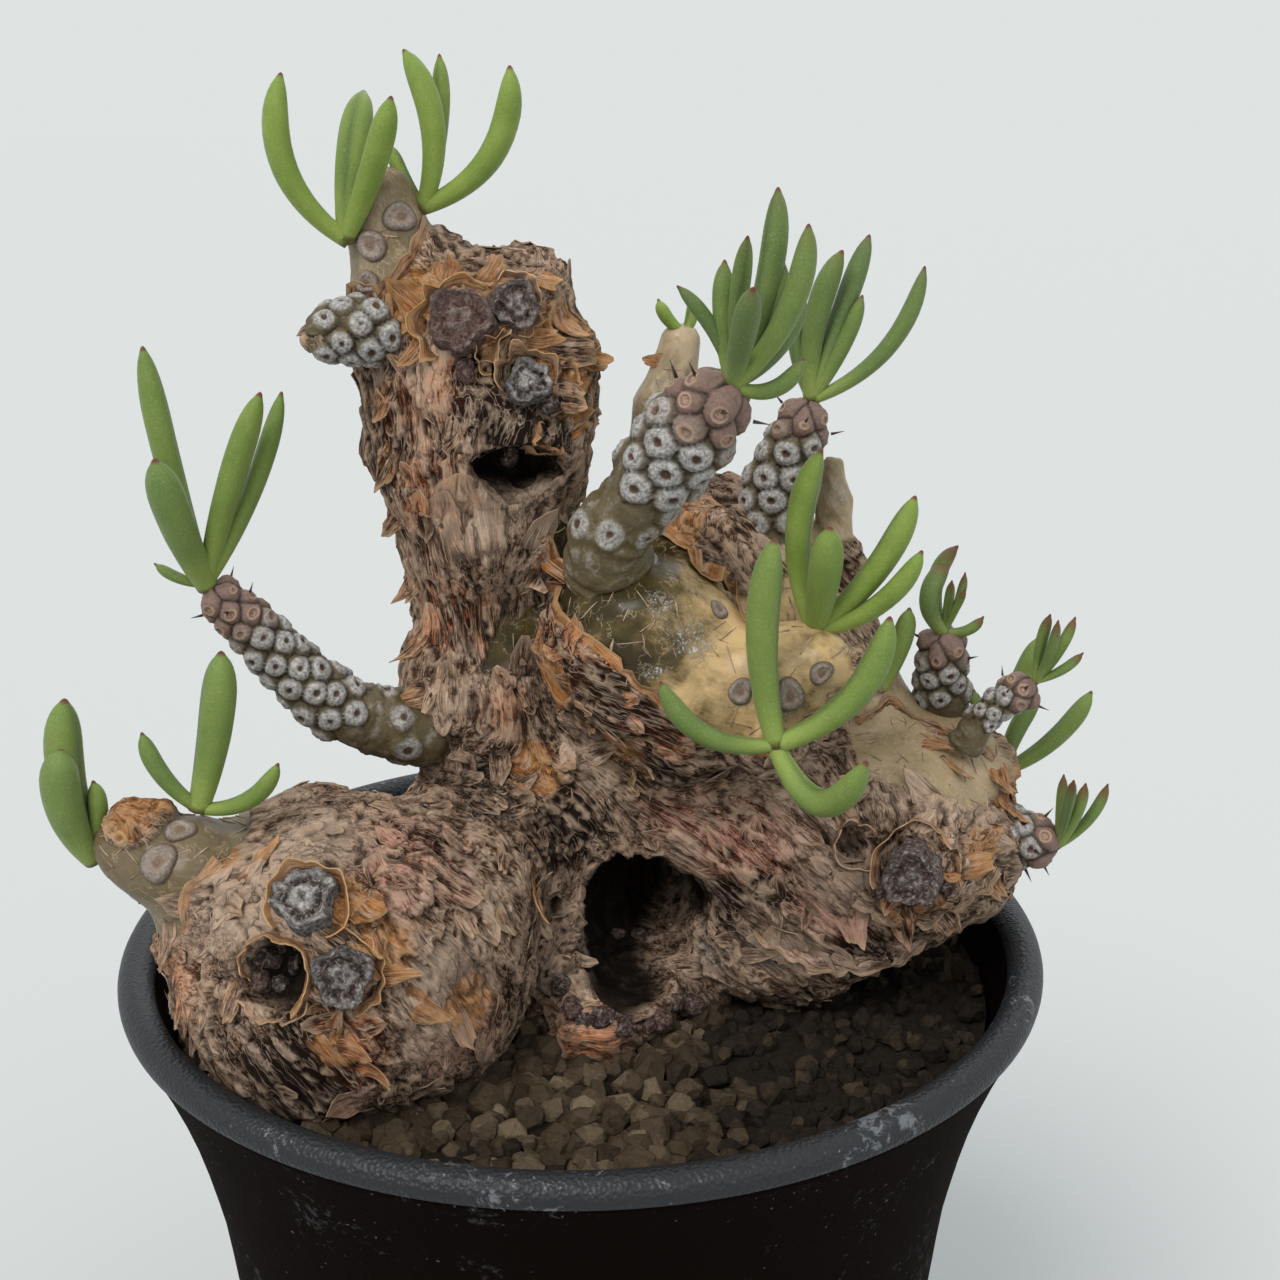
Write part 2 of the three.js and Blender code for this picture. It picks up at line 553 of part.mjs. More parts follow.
function potProfile() {
  const side = [
    [FOOT_RADIUS + 0.9, 1], [44.6, 10], [46.7, 40], [48.8, 60], [50.4, 70], [52.8, 80], [56.3, 90], [59.2, 96],
  ];
  const inside = side.filter(([, z]) => z > FLOOR_TOP + 2 && z < 95).map(([r, z]) => [r - WALL, z]).reverse();
  const lip = [
    [RIM_RADIUS - 0.3, POT_HEIGHT - LIP_HEIGHT], [RIM_RADIUS, POT_HEIGHT - 1.8], [RIM_RADIUS - 0.7, POT_HEIGHT - 0.5],
    [RIM_RADIUS - LIP_WIDTH / 2, POT_HEIGHT], [RIM_RADIUS - LIP_WIDTH + 0.6, POT_HEIGHT - 0.5],
    [RIM_RADIUS - LIP_WIDTH, POT_HEIGHT - 1.8],
  ];
  return [
    [0, 0], [FOOT_PAD_RADIUS, 0], [FOOT_PAD_RADIUS + 1, FOOT_GROOVE_DEPTH], [FOOT_RADIUS - 5, FOOT_GROOVE_DEPTH],
    [FOOT_RADIUS - 4, 0], [FOOT_RADIUS, 0], ...side, ...lip, ...inside, [FOOT_RADIUS - WALL, FLOOR_TOP], [0, FLOOR_TOP],
  ];
}

function pot() {
  const shell = new THREE.LatheGeometry(potProfile().map(([r, z]) => new THREE.Vector2(r, z)), POT_SIDES);
  shell.rotateX(Math.PI / 2);
  let solid = solidOf(shell);
  for (let n = 0; n < DRAIN_HOLES; n++) {
    const angle = ((n + 0.5) * 2 * Math.PI) / DRAIN_HOLES;
    const hole = new THREE.CylinderGeometry(DRAIN_HOLE_RADIUS, DRAIN_HOLE_RADIUS, 12, 12).rotateX(Math.PI / 2);
    hole.translate(DRAIN_CIRCLE_RADIUS * Math.cos(angle), DRAIN_CIRCLE_RADIUS * Math.sin(angle), 3);
    solid = solid.subtract(solidOf(hole));
  }
  return solid;
}

function innerRadius(z) {
  const wall = potProfile().slice(6, 14);
  for (let i = 0; i + 1 < wall.length; i++) {
    const [[r0, z0], [r1, z1]] = [wall[i], wall[i + 1]];
    if (z >= z0 && z <= z1) return THREE.MathUtils.lerp(r0, r1, (z - z0) / (z1 - z0)) - WALL;
  }
  return FOOT_RADIUS;
}

// The fill of the pot, its top rough with angular stones about as wide as the grid's steps.
function soilBody() {
  const low = FLOOR_TOP + SEAT_GAP;
  const ring = (radius, height) => Array.from({ length: SOIL_SIDES }, (_, s) => {
    const angle = (2 * Math.PI * s) / SOIL_SIDES;
    const [x, y] = [radius * Math.cos(angle), radius * Math.sin(angle)];
    return new THREE.Vector3(x, y, height(x, y));
  });
  const flat = (z) => () => z;
  const random = randomFrom(41);
  const top = () => SOIL_LEVEL + STONE_RELIEF * (random() - 0.75);
  const heights = [10, 50, 70, 80, 85];
  const clear = (z) => innerRadius(z) * Math.cos(Math.PI / POT_SIDES) - SEAT_GAP;
  const edge = clear(90) - 0.4;
  const rings = [
    ring(FOOT_RADIUS - WALL - 2.4, flat(low)),
    ...heights.map((z) => ring(clear(z) - 0.2, flat(z))),
    ...[1, 0.92, 0.84, 0.76, 0.68, 0.6, 0.5, 0.4, 0.25, 0.1].map((part) => ring(edge * part, top)),
  ];
  return tubeThrough(rings);
}

function soil(caudexCut) {
  return largestBody(solidOf(soilBody()).subtract(caudexCut));
}

function finish(colour, roughness) {
  return new THREE.MeshStandardMaterial({ color: colour, roughness, metalness: 0, flatShading: true });
}

function named(name, solid, material) {
  const mesh = new THREE.Mesh(geometryOf(solid), material);
  mesh.name = name;
  return mesh;
}

function pottedTylecodon() {
  const group = new THREE.Group();
  const caudexCut = joined([caudexSkin(SEAT_GAP), ...spurs(SEAT_GAP)]);
  const trunk = caudex();
  group.add(named("pot", pot(), finish(0x1c1b1d, 0.55)));
  group.add(named("gravel", soil(solidOf(caudexSkin(2 * SEAT_GAP))), finish(0x6f655a, 0.95)));
  group.add(named("caudex", trunk, finish(0x7d6250, 0.85)));
  for (const name of Object.keys(STEMS)) {
    group.add(named(`stem_${name}`, youngStem(name, caudexCut), finish(0x7f7a6c, 0.8)));
  }
  for (const [name, tuft] of Object.entries(TUFTS)) {
    const bearer = tuft.stem ? solidOf(stemTube(STEMS[tuft.stem], SEAT_GAP)).add(caudexCut) : caudexCut;
    group.add(named(`leaves_${name}`, leafTuft(tuft, bearer), finish(0x86b557, 0.5)));
  }
  return group;
}

export default pottedTylecodon();
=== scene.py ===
"""Looks of the potted Tylecodon pearsonii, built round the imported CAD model.

Tables are in millimetres, in the model's own frame: +Z up, the origin under the pot's foot and the
plant facing -Y. Every mesh is made in millimetres and brought to metres when it is finished.
"""

import logging
import math
from collections.abc import Iterator, Sequence
from contextlib import contextmanager
from dataclasses import dataclass, field
from enum import Enum

import bmesh
import bpy
import numpy as np
from mathutils import Matrix, Vector
from mathutils.bvhtree import BVHTree


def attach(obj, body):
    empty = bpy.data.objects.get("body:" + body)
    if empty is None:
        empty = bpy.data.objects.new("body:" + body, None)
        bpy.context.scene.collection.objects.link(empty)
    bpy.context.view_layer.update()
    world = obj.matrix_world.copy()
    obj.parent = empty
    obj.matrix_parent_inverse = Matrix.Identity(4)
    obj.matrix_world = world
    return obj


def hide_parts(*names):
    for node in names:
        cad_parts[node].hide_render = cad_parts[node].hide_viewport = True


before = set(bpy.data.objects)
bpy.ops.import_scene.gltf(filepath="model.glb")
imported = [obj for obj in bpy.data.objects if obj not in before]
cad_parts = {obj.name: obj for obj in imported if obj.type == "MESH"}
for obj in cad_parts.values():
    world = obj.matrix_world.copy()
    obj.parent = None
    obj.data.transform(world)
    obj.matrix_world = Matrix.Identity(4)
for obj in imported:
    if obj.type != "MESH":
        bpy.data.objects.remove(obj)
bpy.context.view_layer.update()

LOG = logging.getLogger("potted_plant")
METRES_PER_MM = 0.001
BODY = "root"
GOLDEN_ANGLE = math.radians(137.5)
FAR = 1e9
TINY = 1e-9
STATION_BLEND = 2
BLANK_THICKNESS = 0.02
HASH_PRIMES = (374761393, 668265263, 1274126177)
HASH_FACTOR = 1103515245
X_AXIS = np.array((1.0, 0.0, 0.0))
STEM_SIDE = (0.05, 1, 0.1)

Array = np.ndarray
Colour = tuple[float, float, float]
Station = tuple[float, float, float, float]
Outline = list[tuple[float, float]]
Piece = bpy.types.Object
Material = bpy.types.Material

LIMBS: dict[str, list[Station]] = {
    "left_lobe": [
        (-33, -20, 109, 15), (-28, -23, 106, 19), (-31, -24, 103, 16.5), (-21, -22, 102, 14), (-19.5, -18, 109, 14),
        (-14, -8, 113, 11),
    ],
    "left_neck": [(-40, -24, 113, 10), (-45.5, -25, 119, 6.5), (-49.5, -25, 121, 5.5), (-52, -25, 122, 4.2)],
    "trunk": [
        (-3, 4, 106, 16), (-5, 3, 120, 15.5), (-10.5, 2, 131, 12), (-12, 2, 143, 9.5), (-12, 2, 154, 11),
        (-13, 2, 164, 13), (-15, 2, 174, 12), (-20, 1, 183, 7), (-22, 0, 189, 5), (-22.5, 0, 192, 4.5),
    ],
    "crown": [(-12, 1, 179, 8), (-6.5, 1, 179.5, 6.8), (-4, 1, 174, 7.2), (-7, -1, 166, 8.5)],
    "shoulder": [(2.5, 1, 125, 13.5), (10, -1, 121, 13), (20, -2, 115, 13.5)],
    "smooth_bulge": [(8, -10, 141, 12), (14.5, -12, 136.5, 10), (22, -14, 137, 8), (27, -15, 140, 6)],
    "bark_hump": [(7.5, 6, 139, 12), (16, 8, 146, 11), (24.5, 10, 142, 9.5), (31, 10, 134, 8), (40, 8, 118, 10)],
    "right_lobe": [
        (25.5, -1, 102, 13), (31, 0, 110, 16.5), (41, 2, 111, 14.5), (47.5, 3, 108.5, 9.5), (49.5, 6, 118, 8),
    ],
    "right_knuckle": [(41, -8, 115, 8.5), (41.5, -12, 114, 6.5)],
    "foot": [(-3, -4, 96, 13.5), (2.5, -12, 93.5, 9.5), (13, -6, 89.5, 6)],
    "back_lobe": [(-13, 13, 104, 13.5), (6, 17, 106, 14), (24, 14, 105, 13)],
}
LEFT_LOBE = list(LIMBS).index("left_lobe")
# Which way the fibres of each limb run.
GRAIN: dict[str, tuple[float, float, float]] = {
    "left_lobe": (0.55, 0.1, -0.8), "left_neck": (-0.8, 0, 0.5), "trunk": (-0.15, 0, 1), "crown": (0.7, 0, 0.7),
    "shoulder": (0.8, -0.1, -0.45), "smooth_bulge": (0.8, -0.2, -0.3), "bark_hump": (0.6, 0.1, -0.7),
    "right_lobe": (0.8, 0.2, -0.5), "right_knuckle": (0.3, -0.2, 0.9), "foot": (0.9, -0.2, -0.2),
    "back_lobe": (1, 0, 0.1),
}
SPURS: dict[str, list[Station]] = {
    "dead_top": [(9.5, 6, 154, 4.8), (10.5, 7, 167, 4), (12.5, 8, 175, 3)],
    "dead_slim": [(33.5, 10, 143, 3.6), (32.5, 10, 154, 2.4), (32, 10, 159, 1.8)],
    "side_nub": [(-20, -2, 178, 4.2), (-26, -5, 178.5, 3.2), (-29, -6, 178, 1.8)],
    "front_spur": [(22, -12, 130, 4), (22.8, -19, 132, 3.2), (23, -23.2, 133.6, 2.3)],
    "middle_spur": [(24, -12, 137, 5), (27, -14.5, 141.5, 3.8), (27.8, -15.2, 143.6, 2.4)],
}
# Middle and half sizes of each hollow; the later ones only deepen the first.
HOLLOWS = [
    ((7, -13, 105), (7.5, 17, 9.5)), ((13, -12, 106.5), (4.5, 12, 5)), ((-33, -41, 114), (4.5, 4, 4)),
    ((-7, -11, 162), (5, 4.5, 3.5)), ((37, -18, 118.5), (3.5, 5, 4)), ((-32.8, -38.5, 112.6), (4.2, 5, 4)),
    ((-7, -9, 163.2), (6, 5.5, 2.4)), ((33.8, -15, 117), (2.4, 3.6, 2.4)), ((9, -6, 103.5), (5.5, 13, 6.5)),
]
# Leathery swellings: x, y, z, radius.
SWELLINGS: list[Station] = [
    (-14.5, -7.5, 171.5, 3.6), (-11.2, -8.2, 170, 4), (-7.8, -8, 168, 3.4), (-5.5, -6.5, 169.5, 3),
]
# Knobs of callus: x, z, radius. They stand in the hollows and along the big one's lower lip.
KNOBS = [
    (-34.6, 112.2, 1.7), (-32.7, 114.2, 1.5), (-31.4, 111.4, 1.3), (-35, 110, 1.4), (-33, 109.4, 1.2),
    (-2.4, 99.5, 1.4), (-0.8, 97.9, 1.6), (1, 96.6, 1.3), (2.8, 97.2, 1.9), (4.4, 98.6, 1.2), (5.6, 95.8, 1.5),
    (7.6, 97.6, 1.4), (8.6, 94.9, 1.3), (10.2, 94.6, 1.8), (12, 95.4, 1.2), (13.8, 93.6, 1.9), (-8.2, 163.4, 1.7),
    (-4.6, 164.6, 1.2), (-12.6, 174.6, 1.5), (-3.2, 170.5, 1.3), (36.8, 112.4, 1.3), (44.6, 113.4, 1.4),
]
# Dead stubs where old stems broke off: x, z, radius, height, how white the ring is, how brown.
STUBS = [
    (-29, 120, 3.4, 2.4, 1.0, 0.0), (-25, 113.5, 3.2, 2.8, 0.45, 0.1), (-13, 180, 3.6, 2, 0.2, 0.8),
    (-5.5, 172.5, 2.6, 2.2, 0.9, 0.0), (40.5, 115.5, 3.4, 3, 0.3, 0.3), (-7.2, 181.6, 2.8, 1.2, 0.5, 0.4),
]
# Ringed leaf scars on the smooth skin: x, z, radius.
SCARS = [
    (-47, 122.4, 2.2), (-45, 125.2, 1.7), (-20, 191.4, 1.9), (-23.8, 188.2, 1.9), (17, 147.6, 1.2), (24.8, 139, 1.9),
    (19, 139.4, 1.5), (28.4, 141.6, 1.4), (-24.4, 184, 1.4),
]
# Curled flaps of papery bark on the front: x, z, heading on the face in degrees, length, width, curl
# in degrees, and how orange each is.
FLAPS = [
    (-36.5, 121.6, 40, 7, 2.2, 15, 0.95), (-23.4, 119.6, -35, 5.5, 4.5, 60, 0.85), (-21.5, 117, -70, 4, 3, 50, 0.9),
    (-29.6, 112.4, -82, 7, 1.8, 100, 0.75), (-20.6, 112.8, -5, 6, 3.2, 60, 0.85),
    (-17.4, 109.2, -25, 6.5, 4.6, 28, 0.95), (-24.6, 105.6, 5, 5, 2.4, 60, 0.6),
    (-23.4, 102.8, -12, 6, 2.2, 70, 0.65), (-38, 110, -100, 6, 3, 45, 0.45), (-46.4, 114, -95, 8, 2.4, 25, 0.4),
    (-45.6, 108, -85, 8, 2.2, 25, 0.35), (-5.7, 114, -95, 8, 2, 35, 0.85), (-9, 118, -100, 6, 2.4, 35, 0.5),
    (-12.5, 116, -60, 5, 3, 35, 0.4), (-18.6, 181.8, 140, 5, 4.4, 55, 0.95), (-15, 184.4, 80, 4.4, 4.4, 60, 0.85),
    (-18.4, 177, 235, 4.6, 3, 50, 0.75), (-10, 184.8, 50, 4.5, 3.4, 60, 0.7), (-4.4, 185, -25, 5.5, 3, 50, 1.0),
    (-1.6, 180.4, -55, 5, 3.4, 55, 0.75), (-4.6, 178, 5, 5, 2.6, 60, 0.8), (-2.6, 176.4, 4, 8.5, 5, 25, 0.4),
    (1.4, 175.6, -15, 7, 3.4, 60, 0.8), (-0.6, 168, 20, 5, 5, 45, 0.7), (-3.6, 164.8, 60, 3.4, 3, 95, 0.8),
    (-2.8, 162.4, 80, 3, 3, 95, 0.85), (-1.5, 171.5, -10, 5, 4, 50, 0.5), (-1, 143.4, 50, 6, 4.2, 25, 0.5),
    (0, 135, -40, 6, 4.6, 30, 0.55), (7, 127.5, 30, 6, 4, 35, 0.45), (-2.5, 127.5, -30, 4, 3, 40, 0.5),
    (14, 124.6, 15, 6, 3, 35, 0.4), (-22.4, 164, 250, 6, 3, 35, 0.5), (-21.8, 156, 255, 6, 3, 40, 0.45),
    (-20.6, 147, 250, 6, 3.4, 50, 0.6), (-20, 140, 235, 5.5, 3.4, 55, 0.6), (-18.8, 134.6, 200, 5, 4, 50, 0.6),
    (-22.8, 171, 245, 5, 3, 40, 0.45), (44, 126.4, -8, 5, 3, 30, 0.85), (47, 124.2, -48, 5, 2.2, 35, 0.75),
    (54.4, 121.6, -75, 6, 4, 50, 0.75), (55.4, 116.6, -95, 5, 4, 50, 0.8), (47.8, 113.6, 18, 5.5, 3.6, 80, 0.95),
    (42.7, 113.4, -80, 5, 3, 130, 0.9), (38.2, 112.4, -120, 5, 3.4, 60, 0.5), (33, 119.6, 130, 5, 4, 40, 0.5),
    (40, 108.6, -70, 6, 5, 45, 0.4), (46, 106.4, -60, 6, 4.6, 45, 0.45), (33.6, 108, -80, 6, 4.4, 40, 0.35),
    (9.6, 173.6, 160, 4.5, 2.2, 50, 0.9), (12, 163, -100, 5, 2.6, 40, 0.5), (27, 119.4, -40, 5, 3.4, 35, 0.4),
    (52.6, 109.6, -60, 5, 3.6, 45, 0.6), (-13, 104.6, -70, 5, 4, 35, 0.5),
]
# Papery collars round stubs and hollows: x, z, radius, height, flare, first and last angle in
# degrees, and how orange each is.
COLLARS = [
    (-29, 120, 4, 2, 1.0, -60, 215, 0.85), (-24.8, 113.8, 3.9, 1.8, 1.0, -75, 95, 0.7),
    (-33, 112.8, 4.7, 2, -0.4, -30, 200, 0.75), (-33, 112.8, 5, 1.4, 0.4, 215, 330, 0.45),
    (-13, 180, 4.2, 2.4, 2.0, 60, 235, 0.95), (-13, 180, 4.3, 1.8, 1.2, -70, 50, 0.65),
    (-5.5, 172.5, 3.4, 1.6, 0.8, 10, 200, 0.6), (-7.2, 181.6, 3.3, 1.8, 0.8, -80, 120, 0.6),
    (40.5, 115.8, 4.4, 2.4, 0.6, -70, 230, 0.5), (33.8, 117, 2.9, 1.4, 0.2, 30, 300, 0.35),
    (44, 112.6, 2.2, 1.8, 0.6, -20, 200, 0.95), (-2.8, 166.4, 1.9, 1.8, 0.2, 100, 330, 0.75),
    (-9, 176.2, 2, 1.5, 0.7, 60, 250, 0.8), (-1.8, 173, 2.2, 1.4, 0.8, -60, 100, 0.6),
]
# Torn edges of bark that lie over the smooth skin: x, z along each, its width, how far it lifts, how
# orange it is, and whether its free edge is on the left of its run.
TORN_EDGES: list[tuple[Outline, float, float, float, bool]] = [
    (
        [
            (-3.6, 154), (-3.2, 149.5), (-2.4, 146), (1.7, 144.6), (6.3, 140.6), (11, 137), (14.4, 134.3),
            (18.6, 132.4), (25, 132),
        ],
        2.4, 0.9, 0.75, True,
    ),
    ([(9, 155), (10.5, 153.6), (13.5, 152), (17, 149.4), (20, 146.4), (21.5, 145.4)], 2.4, 1.2, 0.95, False),
    ([(-39.8, 122), (-43, 119.6), (-44, 114.5)], 2.2, 0.7, 0.6, False),
    ([(35.5, 127.5), (40, 129.8), (44.5, 127.4), (49.5, 125.2), (53.5, 122.4)], 2.2, 0.8, 0.55, True),
    ([(-27.5, 181.5), (-25, 183.5), (-22.6, 182.2), (-20.6, 184.6), (-18.6, 187), (-17, 190.4)], 2.4, 0.9, 0.6, True),
    ([(34.5, 112), (39, 108.4), (44, 107.4), (49, 108), (53, 111)], 3.4, 1.2, 0.35, False),
    ([(22, 106), (28, 102.5), (34, 101), (40, 101.5), (46, 104)], 3.0, 1.0, 0.3, False),
]
# Outlines, seen from the front as x, z, inside which the skin is smooth and olive, how far back (y)
# each reaches, and how greyish tan it is.
SKIN_PATCHES: list[tuple[Outline, float, float]] = [
    (
        [
            (-3.4, 156), (8, 156), (10.5, 153.8), (15, 151.4), (20.5, 146), (22, 146), (27, 147.5), (33, 146),
            (32, 139), (26, 133.5), (19, 132.8), (14.5, 134.6), (8.5, 138.6), (4, 142.6), (0, 146), (-2.5, 147.5),
        ],
        3, 0.0,
    ),
    (
        [
            (-36, 127), (-39, 122.5), (-43, 120), (-43.5, 115), (-49, 111), (-60, 118), (-60, 131), (-44, 131),
            (-38, 128),
        ],
        40, 0.35,
    ),
    (
        [
            (-27, 198), (-15, 198), (-16.5, 190.5), (-18.5, 187), (-20.5, 184.6), (-22.6, 182.6), (-25, 184),
            (-28, 181), (-32, 186), (-30, 191),
        ],
        40, 0.6,
    ),
    (
        [(34, 127.5), (37, 131), (41, 133), (50, 130), (57, 121), (56, 117.5), (51, 118), (44, 122), (35.5, 124.5)],
        12, 0.8,
    ),
    ([(-9.5, 143), (-4, 145.3), (-4.7, 141), (-9, 138), (-12, 137)], 2, 0.0),
    ([(1, 163), (5, 180), (18, 180), (18, 164), (12, 158)], 40, 0.95),
    ([(28, 150), (28, 162), (36, 162), (37, 150)], 40, 0.95),
]


class Zone(Enum):
    """Where the bark differs: spots as x, y, z and reach."""

    WARM = (
        (-18.5, -7, 182, 6), (-1, -4, 176, 8), (-8, -8, 185.5, 5), (-12, -34, 106, 5), (-25, -36.5, 120, 4.5),
        (-21, -38, 115, 5), (-3, -14, 139, 6), (-5, -12, 126, 5), (12.5, 1, 154, 5), (49, -8, 113, 5),
        (40, -17, 110, 4), (-40, -29, 122, 3), (-10, -6, 178, 6), (6, -15, 131, 5), (-50.5, -27, 125.6, 4.2),
        (-47.5, -25, 127, 3), (-26, -42, 105, 4), (55.5, 1, 119, 5),
    )
    PURPLE = (
        (-17.7, -27.7, 122.4, 9), (-22, -33, 119, 6), (20, -16, 117, 9), (8, -17, 114, 6), (-12, -35, 104, 8),
        (-26, -42, 101, 7), (30, -16, 110, 8), (-3, -8, 185, 5), (12, -12, 122, 6),
    )
    RUST = (
        (-17.3, -9.5, 159, 8), (-15.7, -6.6, 143.5, 7), (-2, -16, 142, 8), (7.5, -20.5, 135.6, 9), (10, -17, 90, 6),
        (-24.4, -42, 106, 6), (-13, -8, 172, 6), (2, -20, 94, 6), (-20, -5, 168, 7), (-8, -14, 134, 6),
        (-45, -31, 108, 7), (40, -18, 112, 6),
    )
    FELT = (
        (-35.7, -35.3, 120, 9), (-30, -30, 125, 8), (-12.5, -10.3, 157, 6), (-5, -9, 160, 5), (50, -8, 116, 9),
        (32, -16, 113, 6), (-38, -33, 122, 8), (-14, -36, 108, 8), (-7, -9, 184, 6), (-44, -30, 114, 5),
        (44, -8, 124, 8), (-2, -20, 102, 6), (26, -12, 104, 7),
    )
    SHADE = (
        (-9, -9, 171, 7), (-5, -9, 165, 8), (5, -19, 137, 9), (-2, -16, 142, 5), (7, -16, 130, 6), (21, -15, 106, 8),
        (-30, -42, 101, 8), (38, -14, 101, 9), (-10, -12, 124, 5), (-2, -12, 118, 5),
    )
    DUST = (
        (15, -9.6, 151, 2.6), (13.3, -19.4, 145, 6), (-2.4, -13, 127, 2), (10, -18, 149, 4.5), (9, -21, 141.5, 3.4),
        (-47, -30, 122, 3), (24, -21, 137, 3), (-21, -4, 191, 3), (18, -20, 138, 4), (16, -11, 100, 5),
        (27.5, -16, 143.5, 3), (11, 3, 171, 4), (33, 8, 156, 4),
    )


def lattice(cells: Array) -> Array:
    """Gives each whole grid point its own number, the way the solids' bark does.

    Args:
        cells: Whole grid points, one row each.

    Returns:
        A number in -1..1 for each.
    """
    spread = (cells & 0xFFFFFFFF).astype(np.uint32) * np.array(HASH_PRIMES, np.uint32)
    mixed = np.bitwise_xor.reduce(spread, axis=1)
    mixed = (mixed ^ (mixed >> np.uint32(13))) * np.uint32(HASH_FACTOR)
    return (mixed ^ (mixed >> np.uint32(16))).astype(float) / 2**31 - 1


def noise(points: Array) -> Array:
    """Smooth noise with features about one unit wide.

    Args:
        points: Rows of x, y, z.

    Returns:
        A number in -1..1 for each point.
    """
    whole = np.floor(points)
    part = points - whole
    part = part * part * (3 - 2 * part)
    total = np.zeros(len(points))
    for corner in np.ndindex(2, 2, 2):
        weight = np.prod(np.where(corner, part, 1 - part), axis=1)
        total += weight * lattice(whole.astype(np.int64) + corner)
    return total


def fractal(points: Array, width: float, octaves: int = 4) -> Array:
    """Noise in about -1..1 of several widths in mm added up, each half the one before."""
    parts = (noise(points * 2**n / width + 17.3 * n) / 2**n for n in range(octaves))
    return sum(parts) / 1.6


def smooth_min(first: Array, second: Array, blend: float) -> Array:
    """The lesser of two fields, with their crease rounded over `blend` mm."""
    near = np.maximum(blend - np.abs(first - second), 0) / blend
    return np.minimum(first, second) - near * near * blend / 4


def smooth_step(low: float, high: float, value: Array) -> Array:
    """Goes smoothly from 0 at `low` to 1 at `high`."""
    part = np.clip((value - low) / (high - low), 0, 1)
    return part * part * (3 - 2 * part)


def unit(rows: Array) -> Array:
    """Each row scaled to length 1."""
    return rows / np.maximum(np.linalg.norm(rows, axis=-1, keepdims=True), TINY)


def to_segment(points: Array, start: Array, step: Array) -> tuple[Array, Array]:
    """How far along a segment each point's nearest place is, 0..1, and how far off it is."""
    along = np.clip(((points - start) @ step) / (step @ step), 0, 1)
    return along, np.linalg.norm(points - start - along[:, None] * step, axis=1)


def chain_distance(stations: Sequence[Station], points: Array) -> Array:
    """Distance to the skin of a chain of round stations.

    Args:
        stations: x, y, z and radius of each station.
        points: Rows of x, y, z.

    Returns:
        The distance in mm for each point, negative inside.
    """
    rows, nearest = np.array(stations, float), np.full(len(points), FAR)
    for first, step in zip(rows, np.diff(rows, axis=0)):
        along, away = to_segment(points, first[:3], step[:3])
        nearest = smooth_min(nearest, away - first[3] - along * step[3], STATION_BLEND)
    return nearest


def outline_distance(outline: Outline, points: Array) -> Array:
    """Distance to a closed outline in the x, z plane.

    Args:
        outline: x, z of each corner.
        points: Rows of x, y, z.

    Returns:
        The distance in mm for each point, negative inside.
    """
    flat, corners = points[:, [0, 2]], np.array(outline, float)
    nearest, inside = np.full(len(flat), FAR), np.zeros(len(flat), bool)
    for first, second in zip(corners, np.roll(corners, -1, axis=0)):
        step = second - first
        nearest = np.minimum(nearest, to_segment(flat, first, step)[1])
        rises = (first[1] > flat[:, 1]) != (second[1] > flat[:, 1])
        crossing = first[0] + (flat[:, 1] - first[1]) * step[0] / (step[1] or TINY)
        inside ^= rises & (flat[:, 0] < crossing)
    return np.where(inside, -nearest, nearest)


def zone_weight(zone: Zone, points: Array) -> Array:
    """How near each point is to a zone's nearest spot.

    Args:
        zone: The zone.
        points: Rows of x, y, z.

    Returns:
        For each point, 1 at a spot's middle and 0 past its reach.
    """
    weight = np.zeros(len(points))
    for *spot, reach in zone.value:
        away = np.linalg.norm(points - spot, axis=1)
        weight = np.maximum(weight, 1 - smooth_step(0.3 * reach, 1.15 * reach, away))
    return weight


def columns(*parts: Array | float) -> Array:
    """Numbers or lists of numbers side by side, one column each."""
    return np.stack(np.broadcast_arrays(*parts), axis=1)


def polar(rows: Array) -> tuple[Array, Array]:
    """How far each row is from the Z axis, and its angle about it."""
    return np.linalg.norm(rows[:, :2], axis=1), np.arctan2(rows[:, 1], rows[:, 0])


def travel(points: Array) -> Array:
    """How far along a line of points each of them is."""
    return np.concatenate(([0], np.cumsum(np.linalg.norm(np.diff(points, axis=0), axis=1))))


def deselect() -> None:
    """Deselects everything, so that an operator acts only on what comes next."""
    if bpy.context.object and bpy.context.object.mode != "OBJECT":
        bpy.ops.object.mode_set(mode="OBJECT")
    bpy.ops.object.select_all(action="DESELECT")


def select_only(*pieces: Piece) -> None:
    """Selects some pieces and nothing else.

    Args:
        pieces: The pieces, of which the first is made active.
    """
    deselect()
    for piece in pieces:
        piece.select_set(True)
    bpy.context.view_layer.objects.active = pieces[0]


def join(pieces: Sequence[Piece]) -> Piece:
    """Joins pieces into the first one.

    Args:
        pieces: The pieces.

    Returns:
        The joined piece.
    """
    select_only(*pieces)
    bpy.ops.object.join()
    return bpy.context.object


def remove(*pieces: Piece) -> None:
    """Deletes models that were only there to be copied."""
    select_only(*pieces)
    bpy.ops.object.delete()


def primitive(kind: str, applied: bool = True, **settings: object) -> Piece:
    """Adds a mesh primitive with nothing else selected.

    Args:
        kind: Its kind, as its operator is named.
        applied: Whether its place goes into its mesh.
        settings: Its own settings.

    Returns:
        The new object.
    """
    deselect()
    getattr(bpy.ops.mesh, f"primitive_{kind}_add")(**settings)
    if applied:
        bpy.ops.object.transform_apply(location=True, rotation=True, scale=True)
    return bpy.context.object


@contextmanager
def editing(piece: Piece) -> Iterator[None]:
    """Opens a piece in edit mode with all of it selected, and closes it at the end.

    Args:
        piece: The piece.

    Returns:
        The context in which it is open.
    """
    select_only(piece)
    bpy.ops.object.mode_set(mode="EDIT")
    bpy.ops.mesh.select_all(action="SELECT")
    yield
    bpy.ops.object.mode_set(mode="OBJECT")


